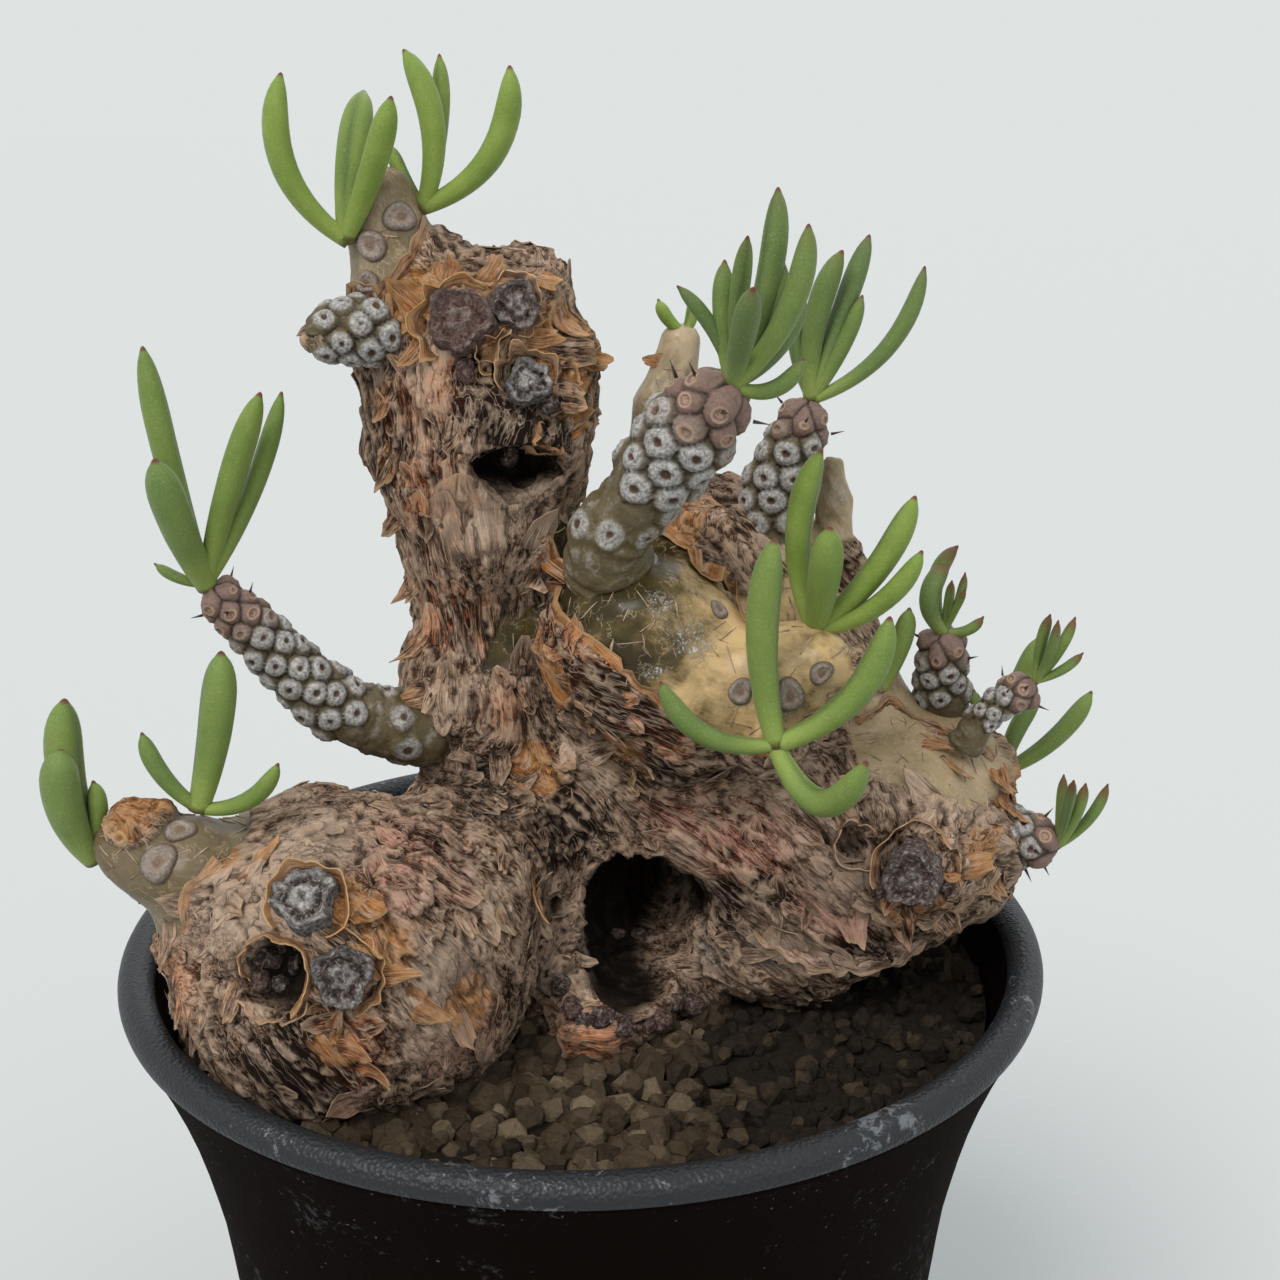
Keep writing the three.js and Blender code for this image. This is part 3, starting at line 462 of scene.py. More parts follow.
def apply_modifier(piece: Piece, kind: str, **settings: object) -> None:
    """Adds a modifier to a piece and applies it.

    Args:
        piece: The piece to change.
        kind: The modifier's type.
        settings: The modifier's own settings.
    """
    select_only(piece)
    modifier = piece.modifiers.new(kind.title(), kind)
    for name, value in settings.items():
        setattr(modifier, name, value)
    bpy.ops.object.modifier_apply(modifier=modifier.name)


def read(items: bpy.types.bpy_prop_collection, key: str, width: int = 3, kind: type = float) -> Array:
    """Reads one value of each of a mesh's items.

    Args:
        items: The vertices, edges, faces or corners.
        key: The value's name.
        width: How many numbers it has.
        kind: The type of its numbers.

    Returns:
        The numbers, as rows where a value has more than one.
    """
    rows = np.empty(len(items) * width, kind)
    items.foreach_get(key, rows)
    return rows.reshape(-1, width) if width > 1 else rows


def places(piece: Piece) -> Array:
    """The piece's vertices, one row of x, y, z each."""
    return read(piece.data.vertices, "co")


def put_places(piece: Piece, rows: Array) -> None:
    """Moves the piece's vertices to these rows of x, y, z."""
    piece.data.vertices.foreach_set("co", np.ascontiguousarray(rows, float).ravel())
    piece.data.update()


def normals(piece: Piece) -> Array:
    """The piece's vertex normals, one row each."""
    return read(piece.data.vertex_normals, "vector")


def put_values(piece: Piece, name: str, values: Array) -> None:
    """Stores values for the finishes to read.

    Args:
        piece: The piece that they lie on.
        name: Their name.
        values: A number or a row of three for each vertex.
    """
    kind, key = ("FLOAT_VECTOR", "vector") if values.ndim == 2 else ("FLOAT", "value")
    attribute = piece.data.attributes.get(name) or piece.data.attributes.new(name, kind, "POINT")
    attribute.data.foreach_set(key, np.ascontiguousarray(values, np.float32).ravel())


def get_values(piece: Piece, name: str) -> Array:
    """The numbers that the piece's vertices hold under `name`."""
    return read(piece.data.attributes[name].data, "value", 1, np.float32).astype(float)


def smoothed(piece: Piece, values: Array, rounds: int) -> Array:
    """Averages a value along the piece's edges.

    Args:
        piece: The piece that the values lie on.
        values: One number a vertex.
        rounds: How many times each vertex takes its neighbours' mean.

    Returns:
        The averaged numbers.
    """
    first, second = read(piece.data.edges, "vertices", 2, np.int32).T
    count = len(values)
    degree = np.bincount(first, minlength=count) + np.bincount(second, minlength=count)
    for _ in range(rounds):
        total = np.bincount(first, values[second], count) + np.bincount(second, values[first], count)
        values = 0.5 * values + 0.5 * total / np.maximum(degree, 1)
    return values


class Shading(Enum):
    """How a piece's faces are shaded: the angle in degrees above which an edge is sharp."""

    SMOOTH = 180
    CRISP = 35
    FACETED = 12


def triangles(piece: Piece) -> int:
    """Counts the piece's triangles."""
    piece.data.calc_loop_triangles()
    return len(piece.data.loop_triangles)


def finish_piece(
    piece: Piece, name: str, slot: str, node: str, material: Material,
    shading: Shading = Shading.SMOOTH,
) -> None:
    """Brings a piece from mm to metres, dresses it and hangs it on the model.

    Args:
        piece: The piece, modelled in mm about the model's own origin.
        name: Its name.
        slot: The record's material slot; not used.
        node: The CAD node that it stands for.
        material: Its finish.
        shading: How its faces are shaded.
    """
    piece.name = piece.data.name = name
    piece.data.transform(piece.matrix_world)
    piece.matrix_world = Matrix.Identity(4)
    piece.data.transform(Matrix.Scale(METRES_PER_MM, 4))
    piece.data.materials.clear()
    piece.data.materials.append(material)
    select_only(piece)
    if shading is Shading.SMOOTH:
        bpy.ops.object.shade_smooth()
    else:
        bpy.ops.object.shade_smooth_by_angle(angle=math.radians(shading.value))
    deselect()
    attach(piece, BODY)
    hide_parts(node)
    LOG.info("%s: %d triangles", name, triangles(piece))


@dataclass
class Copies:
    """Many placed copies of small models, gathered into one mesh."""

    rows: list[Array] = field(default_factory=list)
    corners: list[Array] = field(default_factory=list)
    sizes: list[Array] = field(default_factory=list)
    values: dict[str, list[Array]] = field(default_factory=dict)
    count: int = 0

    def add(self, model: Piece, rows: Array, **values: float | Array) -> None:
        """Adds a copy of a model with its own vertex places.

        Args:
            model: The model whose faces are copied.
            rows: Where the copy's vertices go.
            values: Numbers for the copy, each one or one a vertex, or a vector a vertex.
        """
        self.rows.append(rows)
        self.corners.append(read(model.data.loops, "vertex_index", 1, np.int32) + self.count)
        self.sizes.append(read(model.data.polygons, "loop_total", 1, np.int32))
        for name, value in values.items():
            value = np.asarray(value, float)
            spread = np.broadcast_to(value, (len(rows), *value.shape[1:]))
            self.values.setdefault(name, []).append(spread)
        self.count += len(rows)

    def piece(self) -> Piece:
        """Makes one object, in mm, of all the copies.

        Returns:
            The object.
        """
        rows, corners, sizes = map(np.concatenate, (self.rows, self.corners, self.sizes))
        mesh = bpy.data.meshes.new("copies")
        mesh.vertices.add(len(rows))
        mesh.vertices.foreach_set("co", rows.ravel())
        mesh.loops.add(len(corners))
        mesh.loops.foreach_set("vertex_index", corners)
        mesh.polygons.add(len(sizes))
        mesh.polygons.foreach_set("loop_start", np.cumsum(sizes) - sizes)
        mesh.update(calc_edges=True)
        made = bpy.data.objects.new("copies", mesh)
        bpy.context.scene.collection.objects.link(made)
        for key, parts in self.values.items():
            put_values(made, key, np.concatenate(parts))
        return made


def basis_rows(outward: Array, along: Array) -> Array:
    """Works out the turn that stands something up on a skin.

    Args:
        outward: Where Z goes.
        along: Where X goes, once it is laid flat.

    Returns:
        The turned X, Y and Z, one row each.
    """
    z_axis = unit(outward)
    x_axis = unit(along - z_axis * (along @ z_axis))
    return np.array([x_axis, np.cross(z_axis, x_axis), z_axis])


def tube_blank(sides: int, rings: int) -> Piece:
    """Models a closed straight tube of radius 1 from z 0 to 1, to be wrapped round a curve.

    Args:
        sides: How many sides it has.
        rings: How many rings long it is.

    Returns:
        The tube.
    """
    tube = primitive("circle", vertices=sides, radius=1, fill_type="NGON")
    with editing(tube):
        for _ in range(rings):
            bpy.ops.mesh.extrude_region_move(TRANSFORM_OT_translate={"value": (0, 0, 1 / rings)})
        bpy.ops.mesh.select_all(action="SELECT")
        bpy.ops.mesh.normals_make_consistent(inside=False)
    return tube


def sheet_blank(x_cells: int, y_cells: int) -> Piece:
    """Models a thin closed sheet with x and y from 0 to 1, its upper side at z above 0.

    Args:
        x_cells: How many cells it has along x.
        y_cells: How many it has along y.

    Returns:
        The sheet.
    """
    sheet = primitive("grid", x_subdivisions=x_cells, y_subdivisions=y_cells, size=1, location=(0.5, 0.5, 0))
    apply_modifier(sheet, "SOLIDIFY", thickness=BLANK_THICKNESS, offset=0)
    return sheet


def curve_frames(points: Array, across: Sequence[float]) -> tuple[Array, Array, Array]:
    """Works out the directions that a section has along a line.

    Args:
        points: The line.
        across: What the wide directions are kept near.

    Returns:
        The tangents, the wide directions and the ones through, one row a point.
    """
    tangent = unit(np.gradient(points, axis=0))
    through = unit(np.cross(tangent, across))
    return tangent, unit(np.cross(through, tangent)), through


class Wire:
    """A socket of a shader tree on which Python's operators add Math nodes."""

    def __init__(self, tree: bpy.types.NodeTree, socket: bpy.types.NodeSocket) -> None:
        """Wraps an output socket of a tree."""
        self.tree, self.socket = tree, socket

    def math(self, operation: str, *others: "Wire | float", first: bool = True) -> "Wire":
        """Adds a Math node.

        Args:
            operation: The node's operation.
            others: Its other values.
            first: Whether this wire comes before the others.

        Returns:
            The node's result.
        """
        node = self.tree.nodes.new("ShaderNodeMath")
        node.operation = operation
        for socket, value in zip(node.inputs, (self, *others) if first else (*others, self)):
            if isinstance(value, Wire):
                self.tree.links.new(value.socket, socket)
            else:
                socket.default_value = value
        return Wire(self.tree, node.outputs[0])

    def __add__(self, other: "Wire | float") -> "Wire":
        """Returns self + other."""
        return self.math("ADD", other)

    def __sub__(self, other: "Wire | float") -> "Wire":
        """Returns self - other."""
        return self.math("SUBTRACT", other)

    def __rsub__(self, other: "Wire | float") -> "Wire":
        """Returns other - self."""
        return self.math("SUBTRACT", other, first=False)

    def __mul__(self, other: "Wire | float") -> "Wire":
        """Returns self * other."""
        return self.math("MULTIPLY", other)

    def __truediv__(self, other: "Wire | float") -> "Wire":
        """Returns self / other."""
        return self.math("DIVIDE", other)

    __radd__, __rmul__ = __add__, __mul__

    def held(self) -> "Wire":
        """Held between 0 and 1."""
        return self.math("MAXIMUM", 0.0).math("MINIMUM", 1.0)

    def step(self, low: float, high: float) -> "Wire":
        """Goes smoothly from 0 at `low` to 1 at `high`."""
        part = ((self - low) / (high - low)).held()
        return part * part * (3 - 2 * part)

    def near(self, value: float, reach: float) -> "Wire":
        """1 at a value, falling to 0 at `reach` from it: on noise this draws thin lines."""
        return (1 - (self - value).math("ABSOLUTE") / reach).held()


class Paint:
    """A material whose nodes are added through a few methods."""

    def __init__(self, name: str) -> None:
        """Starts a material with a Principled shader and its output.

        Args:
            name: The material's name.
        """
        self.material = bpy.data.materials.new(name)
        self.material.use_nodes = True
        self.tree = self.material.node_tree
        self.tree.nodes.clear()
        self.shader = self.tree.nodes.new("ShaderNodeBsdfPrincipled")
        output = self.tree.nodes.new("ShaderNodeOutputMaterial")
        self.tree.links.new(self.shader.outputs[0], output.inputs["Surface"])

    def node(self, kind: str, values: dict[str | int, object], output: int | str = 0, **settings: object) -> Wire:
        """Adds any node.

        Args:
            kind: The node's type, without its prefix.
            values: Values or wires of its sockets.
            output: Which output is returned.
            settings: Its own settings, which are set first, or a ramp's stops.

        Returns:
            The chosen output.
        """
        node = self.tree.nodes.new("ShaderNode" + kind)
        stops = settings.pop("stops", ())
        for name, value in settings.items():
            setattr(node, name, value)
        for _ in stops[2:]:
            node.color_ramp.elements.new(1.0)
        for n, (place, colour) in enumerate(stops):
            node.color_ramp.elements[n].position = place
            node.color_ramp.elements[n].color = (*colour, 1)
        for key, value in values.items():
            self.connect(node.inputs[key], value)
        return Wire(self.tree, node.outputs[output])

    def connect(self, socket: bpy.types.NodeSocket, value: object) -> None:
        """Links a wire to a socket, or sets its value.

        Args:
            socket: The socket.
            value: A wire, a number, a vector or a colour.
        """
        if isinstance(value, Wire):
            self.tree.links.new(value.socket, socket)
        else:
            solid = isinstance(value, tuple) and socket.type == "RGBA"
            socket.default_value = (*value, 1) if solid else value

    def set(self, **values: object) -> None:
        """Sets sockets of the shader, named in words with underscores."""
        for name, value in values.items():
            self.connect(self.shader.inputs[name.replace("_", " ").title().replace("Ior", "IOR")], value)

    def value(self, name: str, output: str = "Fac") -> Wire:
        """The number, or with "Vector" the vector, that the mesh holds under `name`."""
        return self.node("Attribute", {}, output, attribute_name=name)

    def vector(self, operation: str, first: Wire, **values: object) -> Wire:
        """A Vector Math node on a vector, with its second vector as `other` or its `Scale`."""
        sockets = {1 if name == "other" else name: value for name, value in values.items()}
        return self.node("VectorMath", {0: first, **sockets}, operation=operation)

    def place(self) -> Wire:
        """Object coordinates, in mm."""
        return self.vector("SCALE", self.node("TexCoord", {}, "Object"), Scale=1 / METRES_PER_MM)

    def warped(self, vector: Wire, width: float, reach: float) -> Wire:
        """Pushes a vector about by noise.

        Args:
            vector: The vector.
            width: How wide the noise is.
            reach: How far it pushes, at about the most.

        Returns:
            The pushed vector.
        """
        push = self.node("TexNoise", {"Vector": vector, "Scale": 1 / width, "Detail": 2.0}, "Color")
        centred = self.vector("SUBTRACT", push, other=(0.5, 0.5, 0.5))
        return self.vector("ADD", vector, other=self.vector("SCALE", centred, Scale=2 * reach))

    def noise(self, vector: Wire, width: float, detail: float = 3.0, rough: float = 0.55) -> Wire:
        """Noise in 0..1 with features about `width` wide."""
        values = {"Vector": vector, "Scale": 1 / width, "Detail": detail, "Roughness": rough}
        return self.node("TexNoise", values)

    def cells(self, vector: Wire, width: float) -> Wire:
        """How far each point is from the middle of its cell, for cells about `width` wide."""
        return self.node("TexVoronoi", {"Vector": vector, "Scale": 1 / width}, "Distance")

    def mix(self, share: Wire | float, first: Wire | Colour, second: Wire | Colour, mode: str = "MIX") -> Wire:
        """Mixes two colours, 0 for the first and 1 for the second."""
        values = {0: share, 6: first, 7: second}
        return self.node("Mix", values, 2, data_type="RGBA", blend_type=mode, clamp_factor=True)

    def coats(self, colour: Wire | Colour, *coats: tuple[Wire, Wire | Colour]) -> Wire:
        """Lays colours one over another.

        Args:
            colour: The colour that lies under them.
            coats: The share and the colour of each.

        Returns:
            The colour that is seen.
        """
        for share, coat in coats:
            colour = self.mix(share, colour, coat)
        return colour

    def ramp(self, value: Wire, *stops: tuple[float, Colour]) -> Wire:
        """A colour for each value, between stops."""
        return self.node("ValToRGB", {0: value}, stops=stops)

    def bump(self, height: Wire, depth: float, strength: float = 1.0) -> Wire:
        """A normal bent by a height in 0..1 that stands for `depth` mm."""
        return self.node("Bump", {"Height": height, "Distance": depth * METRES_PER_MM, "Strength": strength})


@dataclass(frozen=True)
class BarkFinish:
    """Layered papery bark over smooth olive skin, as the mesh says where, with painted shade in its crevices and
    hollows.
    """

    # black is painted shade inside the hollows; dark is the darkest bark and also painted shade in crevices.
    black: Colour = (0.006, 0.0035, 0.0025)
    dark: Colour = (0.018, 0.010, 0.007)
    brown: Colour = (0.080, 0.042, 0.023)
    tan: Colour = (0.280, 0.168, 0.110)
    pale: Colour = (0.600, 0.440, 0.330)
    straw: Colour = (0.540, 0.410, 0.260)
    rust: Colour = (0.130, 0.038, 0.013)
    orange: Colour = (0.440, 0.180, 0.055)
    amber: Colour = (0.640, 0.370, 0.150)
    olive_dark: Colour = (0.030, 0.022, 0.005)
    olive: Colour = (0.085, 0.060, 0.017)
    gold: Colour = (0.560, 0.385, 0.185)
    papery: Colour = (0.430, 0.325, 0.205)
    worn: Colour = (0.130, 0.105, 0.050)
    bloom: Colour = (0.640, 0.610, 0.560)
    purple_tint: Colour = (0.92, 0.58, 0.58)
    rust_tint: Colour = (1.30, 0.72, 0.45)

    def bark(self, paint: Paint, grain: Wire, fibre: Wire, mottle: Wire, broad: Wire) -> Wire:
        """Paints the bark.

        Args:
            paint: The material.
            grain: Coordinates that are drawn out along the fibres.
            fibre: Fine noise along the fibres.
            mottle: Noise a few mm wide.
            broad: Noise about 1 cm wide.

        Returns:
            The colour.
        """
        level, warm, value = paint.value("level"), paint.value("warm"), paint.value
        tone = fibre * 1.9 + mottle * 1.4 + level * 0.4 + broad * 1.2 - 1.90 - value("shade") * 0.58
        colour = paint.ramp(tone, (0.20, self.dark), (0.40, self.brown), (0.58, self.tan), (0.80, self.pale))
        for name, tint in (("purple", self.purple_tint), ("rust", self.rust_tint)):
            colour = paint.mix(value(name) * 0.85, colour, tint, "MULTIPLY")
        flames = (0.25, self.rust), (0.5, self.orange), (0.78, self.amber)
        hair = paint.noise(paint.warped(grain, 1.4, 0.7), 1.0, 2).near(0.5, 0.035)
        thread = paint.noise(paint.warped(grain, 2.6, 1.6), 1.7, 3).near(0.46, 0.03)
        crack = paint.noise(paint.warped(grain, 3.0, 1.4), 2.1, 4).near(0.56, 0.04)
        return paint.coats(
            colour,
            ((value("felt") * (0.35 + fibre * 0.5)).held(), self.pale),
            (
                (warm * 1.1 + mottle * 1.1 - 0.95).step(0.0, 0.5) * 0.85,
                paint.ramp(fibre * 0.9 + mottle * 0.7 - 0.3, *flames),
            ),
            (hair * 0.5 + thread * 0.45, self.pale),
            (crack * 0.7, self.dark),
            (
                (value("edge") * (0.45 + fibre * 0.7)).held() * 0.8,
                paint.mix(warm * 0.7 + level * 0.3, self.pale, self.amber),
            ),
        )

    def skin(self, paint: Paint, place: Wire, fibre: Wire, mottle: Wire) -> Wire:
        """Paints the smooth skin.

        Args:
            paint: The material.
            place: Object coordinates in mm.
            fibre: Fine noise along the fibres.
            mottle: Noise a few mm wide.

        Returns:
            The colour.
        """
        wide = paint.noise(paint.warped(place, 6, 3), 5, 4)
        tone = paint.value("gold") * 0.48 + wide * 1.3 + mottle * 0.35 + fibre * 0.3 - 0.74
        papery = paint.coats(
            self.papery, ((wide * 2.4 - 0.8).held(), self.worn), ((fibre - 0.5) * 2.4, self.pale),
            ((mottle - 0.55) * 2.5, self.brown),
        )
        vein = paint.noise(paint.warped(place, 4, 3), 3.4, 3).near(0.5, 0.012)
        colour = paint.ramp(tone, (0.18, self.olive_dark), (0.42, self.olive), (0.82, self.gold))
        return paint.coats(colour, (paint.value("papery"), papery), (vein * 0.4, self.straw))

    def material(self) -> Material:
        """Builds the material.

        Returns:
            The material.
        """
        paint = Paint("bark")
        place, grain, skin = paint.place(), paint.value("grain", "Vector"), paint.value("skin")
        fibre = paint.noise(paint.warped(grain, 2.2, 1.3), 0.32, 6, 0.72)
        mottle = paint.noise(paint.warped(place, 2.5, 1.2), 2.2, 4, 0.62)
        bark = self.bark(paint, grain, fibre, mottle, paint.noise(place, 10, 3))
        speck = paint.noise(place, 0.34, 5, 0.8)
        white = (paint.value("dust") * 0.75 + speck * 1.5 + mottle * 0.5 - 1.70).step(0.0, 0.22)
        colour = paint.coats(
            bark, (skin, self.skin(paint, place, fibre, mottle)), (white * 0.75, self.bloom),
            # Painted shade: darker in crevices, at the foot and under the papers, and black inside the hollows.
            (paint.value("pit") * 0.88, self.dark), (paint.value("gloom"), self.black),
        )
        rough = fibre * 0.8 + mottle * 0.5 + speck * 0.2
        height = rough * (1 - skin * 0.82) + white * 0.1
        paint.set(
            base_color=colour, roughness=0.85 - 0.30 * skin, normal=paint.bump(height, 0.75), specular_ior_level=0.1,
            coat_weight=skin * (0.38 - white * 0.34), coat_roughness=0.28,
        )
        return paint.material


@dataclass(frozen=True)
class StubFinish:
    """Weathered end grain and callus: grey-black with a paler ring and rim."""

    black: Colour = (0.014, 0.011, 0.012)
    grey: Colour = (0.090, 0.070, 0.060)
    white: Colour = (0.500, 0.470, 0.455)
    brown: Colour = (0.150, 0.070, 0.055)

    def material(self) -> Material:
        """Builds the material.

        Returns:
            The material.
        """
        paint = Paint("dead_stub")
        out = paint.value("out")
        grain = paint.noise(paint.warped(paint.place(), 1.2, 0.5), 0.55, 5, 0.7)
        ring = (out.near(0.28, 0.24) + out.near(0.86, 0.2) * 0.7) * paint.value("pale")
        colour = paint.coats(
            paint.ramp(grain, (0.38, self.black), (0.54, self.grey), (0.74, self.white)),
            (paint.value("brown") * (grain * 1.2), self.brown), ((0.48 - grain) * 4, self.black),
            ((ring * (grain * 3 - 0.8)).held(), self.white),
        )
        paint.set(base_color=colour, roughness=0.88, normal=paint.bump(grain, 0.5), specular_ior_level=0.12)
        return paint.material


@dataclass(frozen=True)
class StemFinish:
    """Young stem: waxy olive-brown skin, chalky leaf cushions, browner towards the tip."""

    olive: Colour = (0.095, 0.068, 0.025)
    silver: Colour = (0.330, 0.300, 0.260)
    brown: Colour = (0.150, 0.088, 0.070)
    chalk: Colour = (0.520, 0.495, 0.470)
    slate: Colour = (0.150, 0.140, 0.135)
    mauve: Colour = (0.250, 0.165, 0.135)
    tan: Colour = (0.430, 0.280, 0.185)
    heart: Colour = (0.090, 0.045, 0.030)
    dark: Colour = (0.016, 0.012, 0.010)

    def material(self) -> Material:
        """Builds the material.

        Returns:
            The material.
        """
        paint = Paint("young_stem")
        place, value = paint.place(), paint.value
        out, chalk, young = value("out"), value("chalk"), value("young")
        fine = paint.noise(place, 0.42, 5, 0.7)
        broad = paint.noise(paint.warped(place, 2, 1.4), 1.7, 4, 0.6)
        white = paint.mix((fine * 3.6 - 1.35).held(), self.slate, self.chalk)
        ring = (out - 0.22).step(0.0, 0.1) * (1 - (out - 0.66).step(0.0, 0.3))
        body = paint.coats(
            self.olive, ((broad * 3.2 - 1.65).held(), self.silver),
            ((ring * 0.55 + value("dome") * 0.3).held() * chalk, white),
            (ring * (1 - young) * (0.5 + chalk * 0.5), white),
            (young, paint.mix((fine * 2.6 - 0.9).held(), self.brown, self.mauve)),
            (out.near(0.42, 0.13) * young * 0.9, self.tan),
            ((0.27 - out).step(0.0, 0.08), paint.mix(young, self.heart, self.tan)),
            (out.near(0.13, 0.05) * 0.6, self.dark), (value("gap") * 0.9, self.dark),
        )
        normal = paint.bump(fine * 0.6 + broad * 0.5, 0.35, 0.8)
        paint.set(base_color=body, roughness=0.36 + 0.3 * fine, normal=normal, specular_ior_level=0.35)
        return paint.material


@dataclass(frozen=True)
class LeafFinish:
    """Fleshy velvety leaf: paler at its root, a darker channel and a small red-brown tip."""

    green: Colour = (0.150, 0.225, 0.030)
    deep: Colour = (0.050, 0.090, 0.018)
    light: Colour = (0.290, 0.370, 0.075)
    blue: Colour = (0.085, 0.135, 0.048)
    speckle: Colour = (0.420, 0.520, 0.250)
    tip: Colour = (0.120, 0.022, 0.016)
    root: Colour = (0.090, 0.045, 0.020)
    light_reach: Colour = (0.6, 1.0, 0.25)

    def material(self) -> Material:
        """Builds the material.

        Returns:
            The material.
        """
        paint = Paint("leaf")
        place = paint.place()
        along, red = paint.value("along"), paint.value("red")
        speck = paint.noise(place, 0.22, 4, 0.75)
        flush = (along - 1.0 + red * 0.28).step(0.0, 0.28) * red
        colour = paint.coats(
            self.green, ((paint.noise(place, 4.0, 3) * 2 - 0.6).held() * 0.6, self.light),
            (paint.value("blue"), self.blue), ((0.42 - along).step(0.0, 0.42) * 0.6, self.light),
            (paint.value("channel") * 0.75, self.deep),
            ((speck - 0.54).step(0.0, 0.14) * 0.3, self.speckle),
            ((0.46 - speck).step(0.0, 0.14) * 0.35, self.deep),
            (flush * 0.8, self.tip), ((along - 0.982).step(0.0, 0.016), self.tip),
            ((0.05 - along).step(0.0, 0.05) * 0.8, self.root),
        )
        paint.set(
            base_color=colour, roughness=0.46, normal=paint.bump(speck, 0.14, 0.8), specular_ior_level=0.3,
            subsurface_weight=0.12, subsurface_radius=self.light_reach, subsurface_scale=0.0015,
            sheen_weight=0.1, sheen_roughness=0.4,
        )
        return paint.material


@dataclass(frozen=True)
class GravelFinish:
    """Dry pumice and baked-clay grains, each with its own tone."""

    dark: Colour = (0.018, 0.014, 0.011)
    clay: Colour = (0.074, 0.053, 0.034)
    pale: Colour = (0.215, 0.164, 0.107)

    def material(self) -> Material:
        """Builds the material.

        Returns:
            The material.
        """
        paint = Paint("gravel")
        place = paint.place()
        fine, pits = paint.noise(place, 0.4, 5, 0.75), paint.noise(place, 1.0, 3)
        tone = paint.value("tint") * 0.9 + fine * 0.4 + pits * 0.3 - 0.35
        colour = paint.ramp(tone, (0.0, self.dark), (0.45, self.clay), (0.95, self.pale))
        normal = paint.bump(fine * 0.6 + pits, 0.6, 0.9)
        paint.set(base_color=colour, roughness=0.95, normal=normal, specular_ior_level=0.05)
        return paint.material


@dataclass(frozen=True)
class PotFinish:
    """Matte black plastic with a fine pebble, a little dust, painted blue-grey sheen in patches and its own gloss."""

    name: str
    base: Colour
    roughness: float
    gloss: float
    pebble: float
    dust: Colour = (0.30, 0.31, 0.33)
    # The colour of the painted sheen.
    painted_sheen: Colour = (0.35, 0.37, 0.40)

    def material(self) -> Material:
        """Builds the material.

        Returns:
            The material.
        """
        paint = Paint(self.name)
        place = paint.place()
        soft, broad = paint.noise(place, 0.8, 4, 0.6), paint.noise(place, 12, 4)
        specks = (0.12 - paint.cells(paint.warped(place, 2.0, 0.7), 1.5)).step(0.0, 0.05)
        # Painted sheen: blue-grey patches, strongest on the rim.
        painted_sheen = (paint.noise(paint.warped(place, 3, 2), 1.6, 5, 0.75) + broad - 1.14).step(0.0, 0.1)
        colour = paint.coats(
            self.base, ((specks * (broad - 0.44).step(0.0, 0.12) * 0.35).held(), self.dust),
            (painted_sheen * (0.3 * self.pebble), self.painted_sheen),
        )
        height = paint.cells(place, 0.5) * self.pebble + soft * 0.5
        paint.set(
            base_color=colour, roughness=self.roughness + 0.14 * (soft - 0.5),
            normal=paint.bump(height, 0.18, 0.8), specular_ior_level=self.gloss,
        )
        return paint.material


